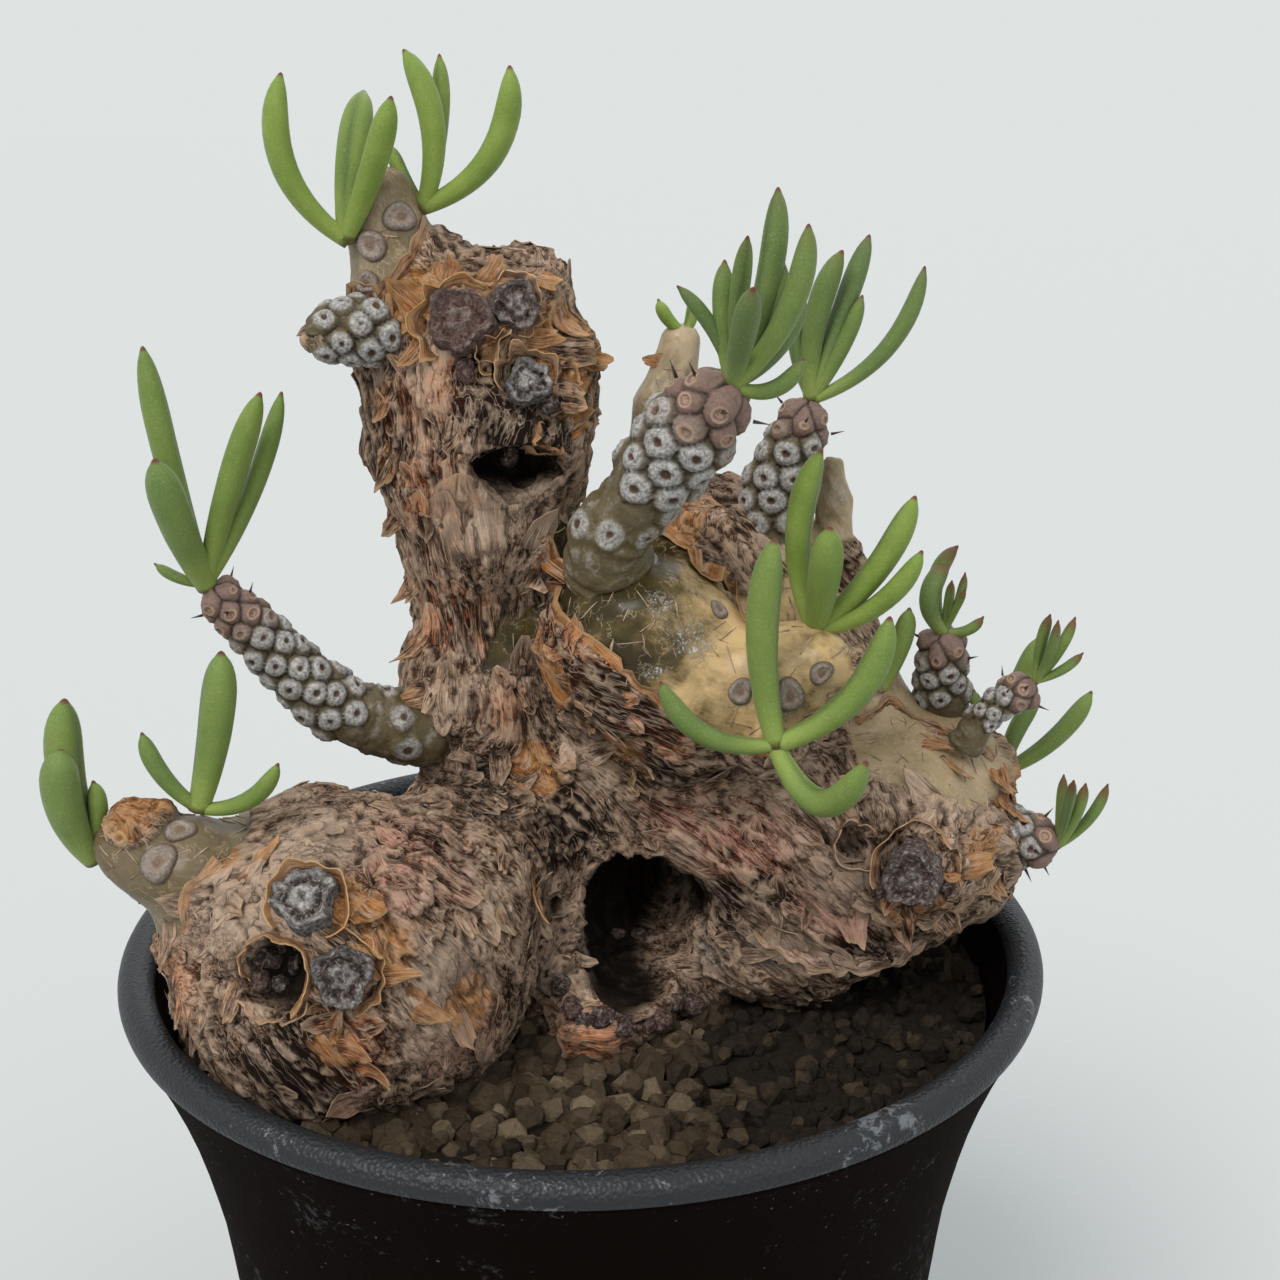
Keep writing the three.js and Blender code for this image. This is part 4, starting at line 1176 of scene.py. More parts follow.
@dataclass
class Caudex:
    """The grown woody body: its skin as a field, its fine mesh and the bark on it."""

    bark_relief: float = 1.1
    first_voxel: float = 1.1
    last_voxel: float = 0.45
    limb_blend: float = 4
    spur_blend: float = 1.2
    hollow_blend: float = 1.0
    front: float = -60
    back: float = 20
    strides: int = 160
    touch: float = 0.04
    most_move: float = 1.3
    limb_fade: float = 2.2
    triangles: int = 196000
    buried: float = 87
    piece: Piece | None = None

    def distance(self, points: Array, carved: bool = True) -> Array:
        """Distance to the skin.

        Args:
            points: Rows of x, y, z.
            carved: Whether the hollows are cut out of it.

        Returns:
            The distance in mm for each point, negative inside.
        """
        skin = np.full(len(points), FAR)
        for stations in LIMBS.values():
            skin = smooth_min(skin, chain_distance(stations, points), self.limb_blend)
        swirl = noise(points / (11, 11, 9)) + 0.55 * noise(points / (6, 6, 4.5) + (7, 0, 0))
        skin = skin + self.bark_relief * swirl
        for stations in SPURS.values():
            skin = smooth_min(skin, chain_distance(stations, points), self.spur_blend)
        for *spot, radius in SWELLINGS:
            skin = smooth_min(skin, np.linalg.norm(points - spot, axis=1) - radius, self.spur_blend)
        for centre, radii in HOLLOWS if carved else ():
            hollow = (np.linalg.norm((points - centre) / radii, axis=1) - 1) * min(radii)
            skin = -smooth_min(-skin, hollow, self.hollow_blend)
        return skin

    def slope(self, points: Array, carved: bool = True) -> Array:
        """The outward direction of the skin at each point."""
        steps = 0.5 * np.eye(3)
        return unit(columns(*(self.distance(points + s, carved) - self.distance(points - s, carved) for s in steps)))

    def fronts(self, x: Array, z: Array, carved: bool = False) -> tuple[Array, Array]:
        """Steps back from in front of the plant to its skin.

        Args:
            x: Places along X, in mm.
            z: Heights, in mm.
            carved: Whether to look into the hollows.

        Returns:
            The points and the outward directions there, one row each.
        """
        spots = columns(x, self.front, z).astype(float)
        for _ in range(self.strides):
            gap = self.distance(spots, carved)
            going = (gap > self.touch) & (spots[:, 1] < self.back)
            spots[:, 1] += np.where(going, np.maximum(0.55 * gap, 0.03), 0)
        return spots, self.slope(spots, carved)

    def seats(self, table: Sequence[Sequence[float]], carved: bool = False) -> Iterator[tuple]:
        """Each row of a table that starts with x and z, with the front skin's point and slope there."""
        x, z = np.array([row[:2] for row in table], float).T
        return zip(table, *self.fronts(x, z, carved))

    def settle(self, body: Piece, rounds: int) -> None:
        """Moves the body's vertices along their normals onto the skin.

        Args:
            body: The body.
            rounds: How many times they move.
        """
        for _ in range(rounds):
            points = places(body)
            move = np.clip(self.distance(points), -self.most_move, self.most_move)
            put_places(body, points - move[:, None] * normals(body))

    def rough_body(self) -> Piece:
        """Models the limbs as balls and cones and joins them.

        Returns:
            The joined body.
        """
        parts, balls = [], list(SWELLINGS)
        for stations in [*LIMBS.values(), *SPURS.values()]:
            balls += stations
            for first, second in zip(stations[:-1], stations[1:]):
                start, end = Vector(first[:3]), Vector(second[:3])
                cone = primitive(
                    "cone", False, vertices=32, radius1=first[3], radius2=second[3], depth=(end - start).length,
                    location=(start + end) / 2, rotation=(end - start).to_track_quat("Z", "Y").to_euler(),
                )
                parts.append(cone)
        for *spot, radius in balls:
            parts.append(primitive("uv_sphere", False, segments=32, ring_count=20, radius=radius, location=spot))
        body = join(parts)
        bpy.ops.object.transform_apply(location=True, rotation=True, scale=True)
        return body

    def carve(self, body: Piece) -> None:
        """Cuts the hollows out of the body.

        Args:
            body: The body.
        """
        for centre, radii in HOLLOWS:
            cutter = primitive("uv_sphere", False, segments=40, ring_count=24, radius=1, location=centre)
            bpy.ops.transform.resize(value=radii, center_override=centre)
            apply_modifier(body, "BOOLEAN", operation="DIFFERENCE", object=cutter, solver="MANIFOLD")
            remove(cutter)

    def grown(self) -> Piece:
        """Models the caudex's smooth fine mesh, before its bark.

        Returns:
            The mesh.
        """
        body = self.rough_body()
        apply_modifier(body, "REMESH", mode="VOXEL", voxel_size=self.first_voxel)
        self.settle(body, 2)
        self.carve(body)
        apply_modifier(body, "REMESH", mode="VOXEL", voxel_size=self.last_voxel * 1)
        self.settle(body, 3)
        with editing(body):
            bpy.ops.mesh.bisect(plane_co=(0, 0, self.buried), plane_no=(0, 0, -1), use_fill=True, clear_outer=True)
        return body

    def shares(self, points: Array) -> Array:
        """How much each point belongs to each limb, one row a limb."""
        near = [np.exp(-np.maximum(chain_distance(row, points), -3) / self.limb_fade) for row in LIMBS.values()]
        return np.array(near) / np.sum(near, axis=0)

    def flow(self, points: Array, outward: Array) -> Array:
        """Which way the fibres run along the surface.

        Args:
            points: Rows of x, y, z.
            outward: The surface's normal at each point.

        Returns:
            The fibres' direction, one row each.
        """
        shares = self.shares(points)
        runs = unit(np.array([GRAIN[name] for name in LIMBS], float))
        lobe = shares[LEFT_LOBE][:, None]
        around = np.cross(outward, (0.15, -1.0, 0.1))
        swirl = columns(*(noise(points / 9 + shift) for shift in (3.0, 31.0, 57.0)))
        mixed = shares.T @ runs * (1 - 0.8 * lobe) + 0.8 * lobe * around + 0.4 * swirl
        return unit(mixed - outward * (mixed * outward).sum(1, keepdims=True))

    def drawn_out(self, points: Array, ratio: float) -> Array:
        """Presses coordinates together along the fibres, so that noise on them is drawn out.

        Args:
            points: Rows of x, y, z.
            ratio: How many times longer than wide the noise becomes.

        Returns:
            The coordinates in mm.
        """
        spots = np.zeros_like(points)
        for share, (name, stations) in zip(self.shares(points), LIMBS.items()):
            run = unit(np.array(GRAIN[name], float))
            local = points - np.mean([row[:3] for row in stations], axis=0)
            spots += share[:, None] * (local - run * (local @ run)[:, None] * (1 - 1 / ratio) + 3.1 * len(name))
        return spots

    def streaks(self, points: Array, run: Array, width: float, reach: float) -> Array:
        """Noise in about -1..1, `width` mm wide and drawn out by `reach` each way along the fibres."""
        steps = np.linspace(-reach, reach, 11)
        return sum(noise((points + step * run) / width) for step in steps) / math.sqrt(len(steps)) / 0.8

    def skin_shares(self, points: Array) -> tuple[Array, Array]:
        """Works out where the skin is smooth.

        Args:
            points: Rows of x, y, z.

        Returns:
            How smooth it is at each point and how papery, 0..1 each.
        """
        jag = 0.8 * fractal(points, 2.4, 3)
        skin, papery = np.zeros(len(points)), np.zeros(len(points))
        for outline, reach, grey in SKIN_PATCHES:
            edge = 1 - smooth_step(-0.25, 0.25, outline_distance(outline, points) + jag)
            edge *= 1 - smooth_step(reach - 1, reach + 1, points[:, 1])
            skin = np.maximum(skin, edge)
            papery = np.maximum(papery, grey * edge)
        return skin, papery

    def relief(self, points: Array, run: Array) -> tuple[Array, Array, Array]:
        """Works out the bark's overlapping layers with their torn edges, strands and folds.

        Args:
            points: Rows of x, y, z.
            run: The fibres' direction at each point.

        Returns:
            The height in mm, which layer is on top, and where its torn edge is.
        """
        strand, thread = self.streaks(points, run, 1.1, 4), self.streaks(points, run, 0.65, 2)
        rope = self.streaks(points, run, 3.0, 8)
        plates = fractal(self.drawn_out(points, 2.4), 4.6, 3)
        stacked = 3.0 * plates + 0.12 * strand + 0.05 * thread + 0.2 * noise(points / 0.9)
        layer = np.floor(stacked)
        part = stacked - layer
        terrace = layer + smooth_step(0, 0.15, part) - 0.6 * part
        lobe = self.shares(points)[LEFT_LOBE]
        height = 0.40 * terrace + 0.07 * strand + 0.03 * thread + (0.40 - 0.2 * lobe) * rope
        height += 0.12 * fractal(points, 1.2, 2)
        edge = smooth_step(0.02, 0.1, part) * (1 - smooth_step(0.14, 0.34, part))
        return np.clip(height, -1.5, 1.6), layer, edge

    def clothe(self, body: Piece) -> None:
        """Presses the bark into the mesh and notes where each kind lies and where shade is painted.

        Args:
            body: The smooth mesh.
        """
        points, outward = places(body), normals(body)
        run = self.flow(points, outward)
        skin, papery = self.skin_shares(points)
        height, layer, edge = self.relief(points, run)
        smooth = 0.10 * fractal(points, 5, 3) + papery * (0.16 * self.streaks(points, run, 1.2, 3)) - 0.5
        leather = np.zeros(len(points))
        for *spot, radius in SWELLINGS:
            away = np.linalg.norm(points - spot, axis=1)
            leather = np.maximum(leather, 1 - smooth_step(radius, radius + 1.0, away))
        crumbs = zone_weight(Zone.WARM, points) * smooth_step(-44, -47, points[:, 0])
        crumbs = crumbs * smooth_step(121, 123, points[:, 2])
        skin *= 1 - smooth_step(0.3, 0.5, crumbs)
        height = height * (1 - 0.8 * leather) + crumbs * (0.9 * fractal(points, 2.0, 3) + 0.2)
        height = height * (1 - skin) + smooth * skin
        level = smoothed(body, height, 10)
        put_places(body, points + height[:, None] * outward)
        # Painted shade at the foot, where the caudex meets the gravel.
        sunk = 1 - smooth_step(91.5, 96, points[:, 2] + 1.5 * noise(points / 4))
        values = {
            "skin": skin, "papery": papery, "leather": leather, "edge": edge * (1 - skin),
            # Painted shade: darker in the crevices, where the bark lies below its smoothed level, and at the foot.
            "pit": np.maximum(smooth_step(0.03, 0.42, level - height) * (1 - 0.7 * skin), 0.7 * sunk),
            # Painted shade: black inside the hollows.
            "gloom": 0.97 * smooth_step(0.5, 4, -self.distance(points, False)),
            "level": np.clip(0.5 + 0.2 * layer, 0, 1), "grain": self.drawn_out(points, 8),
            "gold": smooth_step(3, 17, points[:, 0] - 0.35 * (points[:, 2] - 142)),
        }
        for name, value in (values | {zone.name.lower(): zone_weight(zone, points) for zone in Zone}).items():
            put_values(body, name, value)

    def build(self) -> None:
        """Builds the caudex."""
        body = self.grown()
        self.clothe(body)
        share = self.triangles / max(triangles(body), 1)
        if share < 1:
            apply_modifier(body, "DECIMATE", ratio=share)
        finish_piece(body, "caudex_bark", "bark", "caudex", BarkFinish().material())
        self.piece = body


@dataclass
class BarkPaper:
    """The thin torn bark that lies on the caudex: scales, curled flaps, collars, edges and hairs."""

    caudex: Caudex
    scales: int = 950
    hairs: int = 300
    slivers: int = 500
    thickness: float = 0.15
    probe: float = 4
    seed: int = 11

    def __post_init__(self) -> None:
        """Reads the caudex's finished mesh."""
        body = self.caudex.piece
        self.tree = BVHTree.FromObject(body, bpy.context.evaluated_depsgraph_get())
        self.points = places(body) / METRES_PER_MM
        self.skin = get_values(body, "skin")
        self.rough = 1 - np.maximum(self.skin, get_values(body, "leather"))
        self.tones = {name: get_values(body, name) for name in ("warm", "purple", "rust", "felt", "level", "gloom")}
        self.random = np.random.default_rng(self.seed)
        self.finish = body.data.materials[0]

    def drape(self, spots: Array, outward: Array, lifts: Array, follow: float) -> Array:
        """Lays points on the bark.

        Args:
            spots: Points near the skin, one row each.
            outward: The outward direction, one for all or one each.
            lifts: How far above the bark each goes, in mm.
            follow: 1 to follow each bump, 0 to stay as flat as a board.

        Returns:
            The places on the bark, one row each.
        """
        outward = np.broadcast_to(outward, spots.shape)
        heights = np.full(len(spots), np.nan)
        starts = (spots + self.probe * outward) * METRES_PER_MM
        for n, (start, normal) in enumerate(zip(starts, outward)):
            away = self.tree.ray_cast(Vector(start), Vector(-normal), 2.5 * self.probe * METRES_PER_MM)[3]
            if away is not None:
                heights[n] = self.probe - away / METRES_PER_MM
        missed = np.isnan(heights)
        heights[missed] = -0.8 if missed.all() else np.nanmin(heights)
        heights = follow * heights + (1 - follow) * heights.mean()
        return spots + outward * (heights + lifts)[:, None]

    def tone_at(self, spot: Array, **changes: float) -> dict[str, float]:
        """The bark's tones at a point, with some changed."""
        nearest = int(np.argmin(((self.points - spot) ** 2).sum(1)))
        return {name: changes.get(name, values[nearest]) for name, values in self.tones.items()}

    def teeth(self, along: Array, low: float, high: float, count: int) -> Array:
        """Numbers between `low` and `high` at `along`, 0..1, from a ragged line of `count` draws."""
        return np.interp(along, np.linspace(0, 1, count), self.random.uniform(low, high, count))

    def lay(
        self, copies: Copies, blank: Piece, rows: Array, grain: tuple[Array, Array],
        tones: dict[str, float], **values: Array,
    ) -> None:
        """Adds one paper with its grain, along and across, shifted so that no two look alike."""
        copies.add(blank, rows, grain=columns(*grain, self.random.uniform(0, 90)), **values, **tones)

    def flap(
        self, copies: Copies, blank: Piece, spot: Array, outward: Array, along: Array,
        size: tuple[float, float, float], tones: dict[str, float], follow: float = 0.7,
    ) -> None:
        """Adds one ragged flap, rooted in the bark and curling up from it.

        Args:
            copies: Where it is added.
            blank: A thin sheet.
            spot: Where its root sits.
            outward: The skin's outward direction there.
            along: Which way it points.
            size: Its length and width in mm and its curl in degrees.
            tones: The bark's tones for it.
            follow: How closely it follows the bumps under it.
        """
        length, width, curl = size
        u, v, side = places(blank).T
        ragged = self.teeth(v, 0.72, 1.1, 5) * (1 - 0.3 * np.abs(2 * v - 1) ** 3)
        wide = np.interp(u, (0, 0.35, 0.7, 1), self.random.uniform(0.75, 1.05, 4) * (0.9, 1, 0.95, 0.75))
        turn = np.maximum(math.radians(curl) * (u * ragged) ** 1.3, 1e-3)
        reach = length * u * ragged
        x_axis, y_axis, z_axis = basis_rows(outward, along)
        flat_x = reach * np.sin(turn) / turn - 0.22 * length
        flat_y = (v - 0.5) * width * wide + 0.12 * length * self.random.uniform(-1, 1) * u * u
        phase, waves = self.random.uniform(0, 6.3), self.random.uniform(2, 5)
        flutter = 0.05 * width * np.sin(waves * math.pi * v + phase) * u
        lifts = reach * (1 - np.cos(turn)) / turn + flutter - 0.1 + 0.16 * u
        rows = self.drape(spot + flat_x[:, None] * x_axis + flat_y[:, None] * y_axis, z_axis, lifts, follow)
        facing = np.cos(turn)[:, None] * z_axis - np.sin(turn)[:, None] * x_axis
        rows += np.sign(side)[:, None] * facing * self.thickness / 2
        free = np.maximum(smooth_step(0.72, 1, u), smooth_step(0.7, 1, np.abs(2 * v - 1)) * 0.6 * u)
        # Painted shade at the flap's root and on its underside.
        shade = np.maximum(0.7 * (1 - smooth_step(0, 0.3, u)), 0.35 * (side < 0))
        self.lay(copies, blank, rows, (u * length / 8, v * width), tones, edge=free, pit=shade)

    def collar(self, copies: Copies, blank: Piece, row: Sequence[float], spot: Array, outward: Array) -> None:
        """Adds one papery collar that stands round a stub or a hollow.

        Args:
            copies: Where it is added.
            blank: A thin sheet, long in x.
            row: The collar's row of the table.
            spot: The middle of what it stands round.
            outward: The skin's outward direction there.
        """
        _, _, radius, height, flare, first, last, tint = row
        u, v, side = places(blank).T
        x_axis, y_axis, z_axis = basis_rows(outward, X_AXIS)
        angle = np.radians(first + u * (last - first))
        teeth, wave = self.teeth(u, 0.35, 1.15, 15), self.teeth(u, -0.5, 0.5, 12)
        ease = np.sin(np.pi * np.clip(u, 0.03, 0.97)) ** 0.35
        out = radius + (flare * teeth + wave * 0.9) * v + 0.4 * wave
        radial = np.cos(angle)[:, None] * x_axis + np.sin(angle)[:, None] * y_axis
        lifts = -0.5 + (height * teeth * ease + 0.5) * v
        rows = self.drape(spot + out[:, None] * radial, z_axis, lifts, 1.0)
        lean = unit(radial * height - z_axis * flare)
        rows += np.sign(side)[:, None] * lean * self.thickness * (2.6 - 1.6 * v)[:, None] / 2
        tones = self.tone_at(spot, warm=tint, level=0.5 + 0.3 * tint, gloom=0.0)
        # Painted shade at the collar's foot.
        shade = 0.6 * (1 - smooth_step(0, 0.4, v))
        grain = v * height, u * radius * 3 / 8
        self.lay(copies, blank, rows, grain, tones, edge=smooth_step(0.6, 1, v), pit=shade)

    def torn_edge(
        self, copies: Copies, blank: Piece, row: tuple[Outline, float, float, float, bool]
    ) -> None:
        """Adds one torn edge of bark that lies over the smooth skin.

        Args:
            copies: Where it is added.
            blank: A thin sheet, long in x.
            row: The edge's row of the table.
        """
        path, width, rise, tint, left = row
        facing = 1 if left else -1
        u, v, side = places(blank).T
        travelled = travel(np.array(path, float))
        stops, pick = np.unique(np.round(u, 4), return_inverse=True)
        x, z = (np.interp(stops * travelled[-1], travelled, corners) for corners in zip(*path))
        line, outward = self.caudex.fronts(x, z)
        across = np.cross(outward, unit(np.gradient(line, axis=0))) * facing
        count = max(int(travelled[-1] / 1.1), 4)
        teeth = self.teeth(u, 0.25, 1.2, count)
        lifted = self.teeth(u, 0.3, 1.2, count // 2 + 2)
        spots = line[pick] + across[pick] * (((v - 0.45) * np.where(v > 0.45, teeth, 1)) * width)[:, None]
        rows = self.drape(spots, outward[pick], -0.25 + rise * v**1.6 * lifted + 0.2 * v, 0.9)
        upper = np.sign(side) * facing
        rows += upper[:, None] * outward[pick] * self.thickness / 2
        tones = self.tone_at(line[len(line) // 2], warm=tint, level=0.5, gloom=0.0)
        grain = u * travelled[-1] / 8, v * width
        # Painted shade on the edge's underside.
        self.lay(copies, blank, rows, grain, tones, edge=smooth_step(0.6, 1, v), pit=0.3 * (upper < 0))

    def sample(self, chance: Array, count: int) -> Iterator[tuple[int, Array, Array, Array]]:
        """Picks places on the caudex.

        Args:
            chance: How likely each vertex is.
            count: How many are wanted.

        Returns:
            The number, point, outward direction and fibre direction of each.
        """
        chance = chance * smooth_step(91, 95, self.points[:, 2]) * (1 - self.tones["gloom"])
        count = count // 1
        picked = self.random.choice(len(chance), size=count, replace=False, p=chance / chance.sum())
        spots = self.points[picked]
        outward = self.caudex.slope(spots)
        return zip(picked, spots, outward, self.caudex.flow(spots, outward))

    def heading(self, outward: Array, run: Array, spread: float) -> Array:
        """A direction about along the fibres, either way."""
        turn = self.random.normal(0, spread) + (math.pi if self.random.random() < 0.45 else 0)
        return math.cos(turn) * run + math.sin(turn) * np.cross(outward, run)

    def tones_of(self, index: int, level: float) -> dict[str, float]:
        """A vertex's tones, a little changed.

        Args:
            index: The vertex's number.
            level: The mean of its new level.

        Returns:
            The tones.
        """
        tones = {name: values[index] for name, values in self.tones.items()}
        tones["level"] = np.clip(self.random.normal(level, 0.3), 0, 1)
        tones["warm"] = np.clip(tones["warm"] + self.random.normal(0, 0.2), 0, 1)
        return tones

    def put(self, copies: Copies, name: str, shading: Shading = Shading.CRISP) -> None:
        """Finishes copies as one piece of the caudex, in its own bark."""
        finish_piece(copies.piece(), name, "bark", "caudex", self.finish, shading)

    def build_scales(self) -> None:
        """Builds the many small scales and the fine hairs on the skin."""
        copies, blank = Copies(), sheet_blank(3, 3)
        for index, spot, outward, run in self.sample(self.rough, self.scales):
            length = math.exp(self.random.uniform(math.log(1.5), math.log(6.0)))
            width = max(length * self.random.uniform(0.4, 1.0), 0.9)
            size = (length, width, abs(self.random.normal(6, 12)))
            along = self.heading(outward, run, 0.5)
            self.flap(copies, blank, spot, outward, along, size, self.tones_of(index, 0.5), 0.65)
        self.put(copies, "bark_scales")
        remove(blank)
        copies, blank = Copies(), sheet_blank(6, 1)
        tones = dict.fromkeys(self.tones, 0.0) | {"level": 1.0, "felt": 1.0}
        for _, spot, outward, run in self.sample(self.skin * (self.points[:, 1] < 5), self.hairs):
            size = (self.random.uniform(2.5, 6.5), self.random.uniform(0.1, 0.2), 2.0)
            self.flap(copies, blank, spot, outward, self.heading(outward, run, 3.0), size, tones, 1.0)
        self.put(copies, "skin_hairs", Shading.SMOOTH)
        remove(blank)

    def build_flaps(self) -> None:
        """Builds the flaps, collars and torn edges that the tables name."""
        copies, blank = Copies(), sheet_blank(10, 8)
        for row, spot, outward in self.caudex.seats(FLAPS):
            _, _, heading, length, width, curl, tint = row
            x_axis, y_axis, _ = basis_rows(outward, X_AXIS)
            along = math.cos(math.radians(heading)) * x_axis + math.sin(math.radians(heading)) * y_axis
            tones = self.tone_at(spot, warm=tint, level=0.35 + 0.4 * tint, gloom=0.0)
            self.flap(copies, blank, spot, outward, along, (length, width, curl), tones)
        remove(blank)
        blank = sheet_blank(42, 3)
        for row, spot, outward in self.caudex.seats(COLLARS):
            self.collar(copies, blank, row, spot, outward)
        for row in TORN_EDGES:
            self.torn_edge(copies, blank, row)
        remove(blank)
        self.put(copies, "bark_flaps")

    def build_slivers(self) -> None:
        """Builds the thin splinters that roughen the bark."""
        sliver = primitive("cone", vertices=3, radius1=0.5, radius2=0, depth=1, location=(0, 0, 0.5))
        shape, copies = places(sliver)[:, [2, 0, 1]], Copies()
        for index, spot, outward, run in self.sample(self.rough, self.slivers):
            x_axis = unit(self.heading(outward, run, 0.5) + abs(self.random.normal(0.04, 0.08)) * outward)
            y_axis = unit(np.cross(outward, x_axis))
            size = (self.random.uniform(0.8, 2.6), self.random.uniform(0.16, 0.42), 0.1)
            turned = (shape * size) @ np.array([x_axis, y_axis, np.cross(x_axis, y_axis)])
            grain = columns(shape[:, 0] / 8, shape[:, 1], self.random.uniform(0, 90))
            edge, tones = self.random.uniform(0, 0.8), self.tones_of(index, 0.65)
            copies.add(sliver, turned + spot + 0.04 * outward, edge=edge, pit=0.0, grain=grain, **tones)
        remove(sliver)
        self.put(copies, "bark_slivers")

    def build(self) -> None:
        """Builds all the papery bark."""
        self.build_flaps()
        self.build_scales()
        self.build_slivers()


# Ring by ring from the rim inwards: how far each ring is inset and how far it rises, as shares of
# the radius.
STUB_RINGS = ((0.07, 0.07), (0.10, -0.10), (0.14, -0.10), (0.16, 0.02), (0.20, 0.10), (0.28, -0.05))
SCAR_RINGS = ((0.10, 0.10), (0.12, 0.10), (0.14, 0.02), (0.14, -0.10), (0.16, -0.08), (0.24, 0.06))


@dataclass
class DeadStubs:
    """The weathered ends of old stems, the knobs of callus and the ringed scars."""

    paper: BarkPaper
    sides: int = 36
    sunk: float = 0.5
    seed: int = 5

    def disc(self, height: float, rings: Sequence[tuple[float, float]]) -> Piece:
        """Models a drum of radius 1 whose end is pressed into rings.

        Args:
            height: How far it stands out, as a share of its radius.
            rings: How far each ring is inset and how far it rises.

        Returns:
            The drum, standing along Z with its foot sunk below z 0.
        """
        drum = primitive(
            "cylinder", vertices=self.sides, radius=1, depth=height + self.sunk,
            location=(0, 0, (height - self.sunk) / 2), end_fill_type="NGON",
        )
        with editing(drum):
            bpy.ops.mesh.select_all(action="DESELECT")
            mesh = bmesh.from_edit_mesh(drum.data)
            for face in mesh.faces:
                face.select_set(face.normal.z > 0.9)
            bmesh.update_edit_mesh(drum.data)
            for inset, rise in rings:
                bpy.ops.mesh.inset(thickness=inset, depth=0)
                bpy.ops.transform.translate(value=(0, 0, rise))
        return drum

    def build_stubs(self) -> None:
        """Builds the stubs and the knobs."""
        random, copies = np.random.default_rng(self.seed), Copies()
        for n, (row, spot, outward) in enumerate(self.paper.caudex.seats(STUBS)):
            _, _, radius, height, pale, brown = row
            drum = self.disc(height / radius, STUB_RINGS)
            apply_modifier(drum, "SUBSURF", levels=1, render_levels=1, subdivision_type="SIMPLE")
            rows = places(drum)
            out, angle = polar(rows)
            ragged = 1 + 0.09 * np.sin(3 * angle + n) + 0.06 * np.sin(5 * angle + 2 * n) + 0.03 * np.sin(9 * angle)
            rows = rows * radius * columns(ragged, ragged, 1)
            rows += 0.34 * columns(*(noise(rows / 0.8 + 9 * n + 5 * k) for k in range(3)))
            rows = rows @ basis_rows(outward, np.array((1.0, 0.2, 0.3))) + spot
            copies.add(drum, rows, out=np.minimum(out, 1), pale=pale, brown=brown)
            remove(drum)
        ball = primitive("ico_sphere", subdivisions=3, radius=1)
        for (x, z, radius), spot, _ in self.paper.caudex.seats(KNOBS, True):
            rows = places(ball)
            swell = 1 + 0.3 * noise(rows * 1.6 + 7 * x) + 0.12 * noise(rows * 4 + z)
            rows = rows * swell[:, None] * radius * random.uniform(0.6, 1.15, 3)
            copies.add(ball, rows + spot, out=0.0, pale=0.25, brown=random.uniform(0.1, 0.7))
        remove(ball)
        finish_piece(copies.piece(), "dead_stubs", "bark", "caudex", StubFinish().material(), Shading.CRISP)

    def build_scars(self, finish: Material) -> None:
        """Builds the ringed scars on the smooth skin.

        Args:
            finish: The young stems' finish.
        """
        copies, drum = Copies(), self.disc(0.12, SCAR_RINGS)
        rows = places(drum)
        out, angle = polar(rows)
        for n, ((*_, radius), spot, outward) in enumerate(self.paper.caudex.seats(SCARS)):
            size = radius * (1 + 0.1 * np.sin(2 * angle + n) + 0.05 * np.sin(3 * angle + 2 * n))
            x_axis, y_axis, z_axis = basis_rows(outward, np.array((1.0, 0.0, 0.3)))
            spots = spot + (rows[:, 0] * size)[:, None] * x_axis + (rows[:, 1] * size)[:, None] * y_axis
            laid = self.paper.drape(spots, z_axis, rows[:, 2] * radius, 0.9)
            tones = {"chalk": 0.3, "young": 0.35, "dome": 0.1, "gap": 0.3 * (out > 0.97)}
            copies.add(drum, laid, out=np.minimum(out * 0.9, 1), **tones)
        remove(drum)
        finish_piece(copies.piece(), "leaf_scars", "bark", "caudex", finish)

    def build(self, skin: Material) -> None:
        """Builds the stubs and knobs, and the scars in the young stems' finish."""
        self.build_stubs()
        self.build_scars(skin)


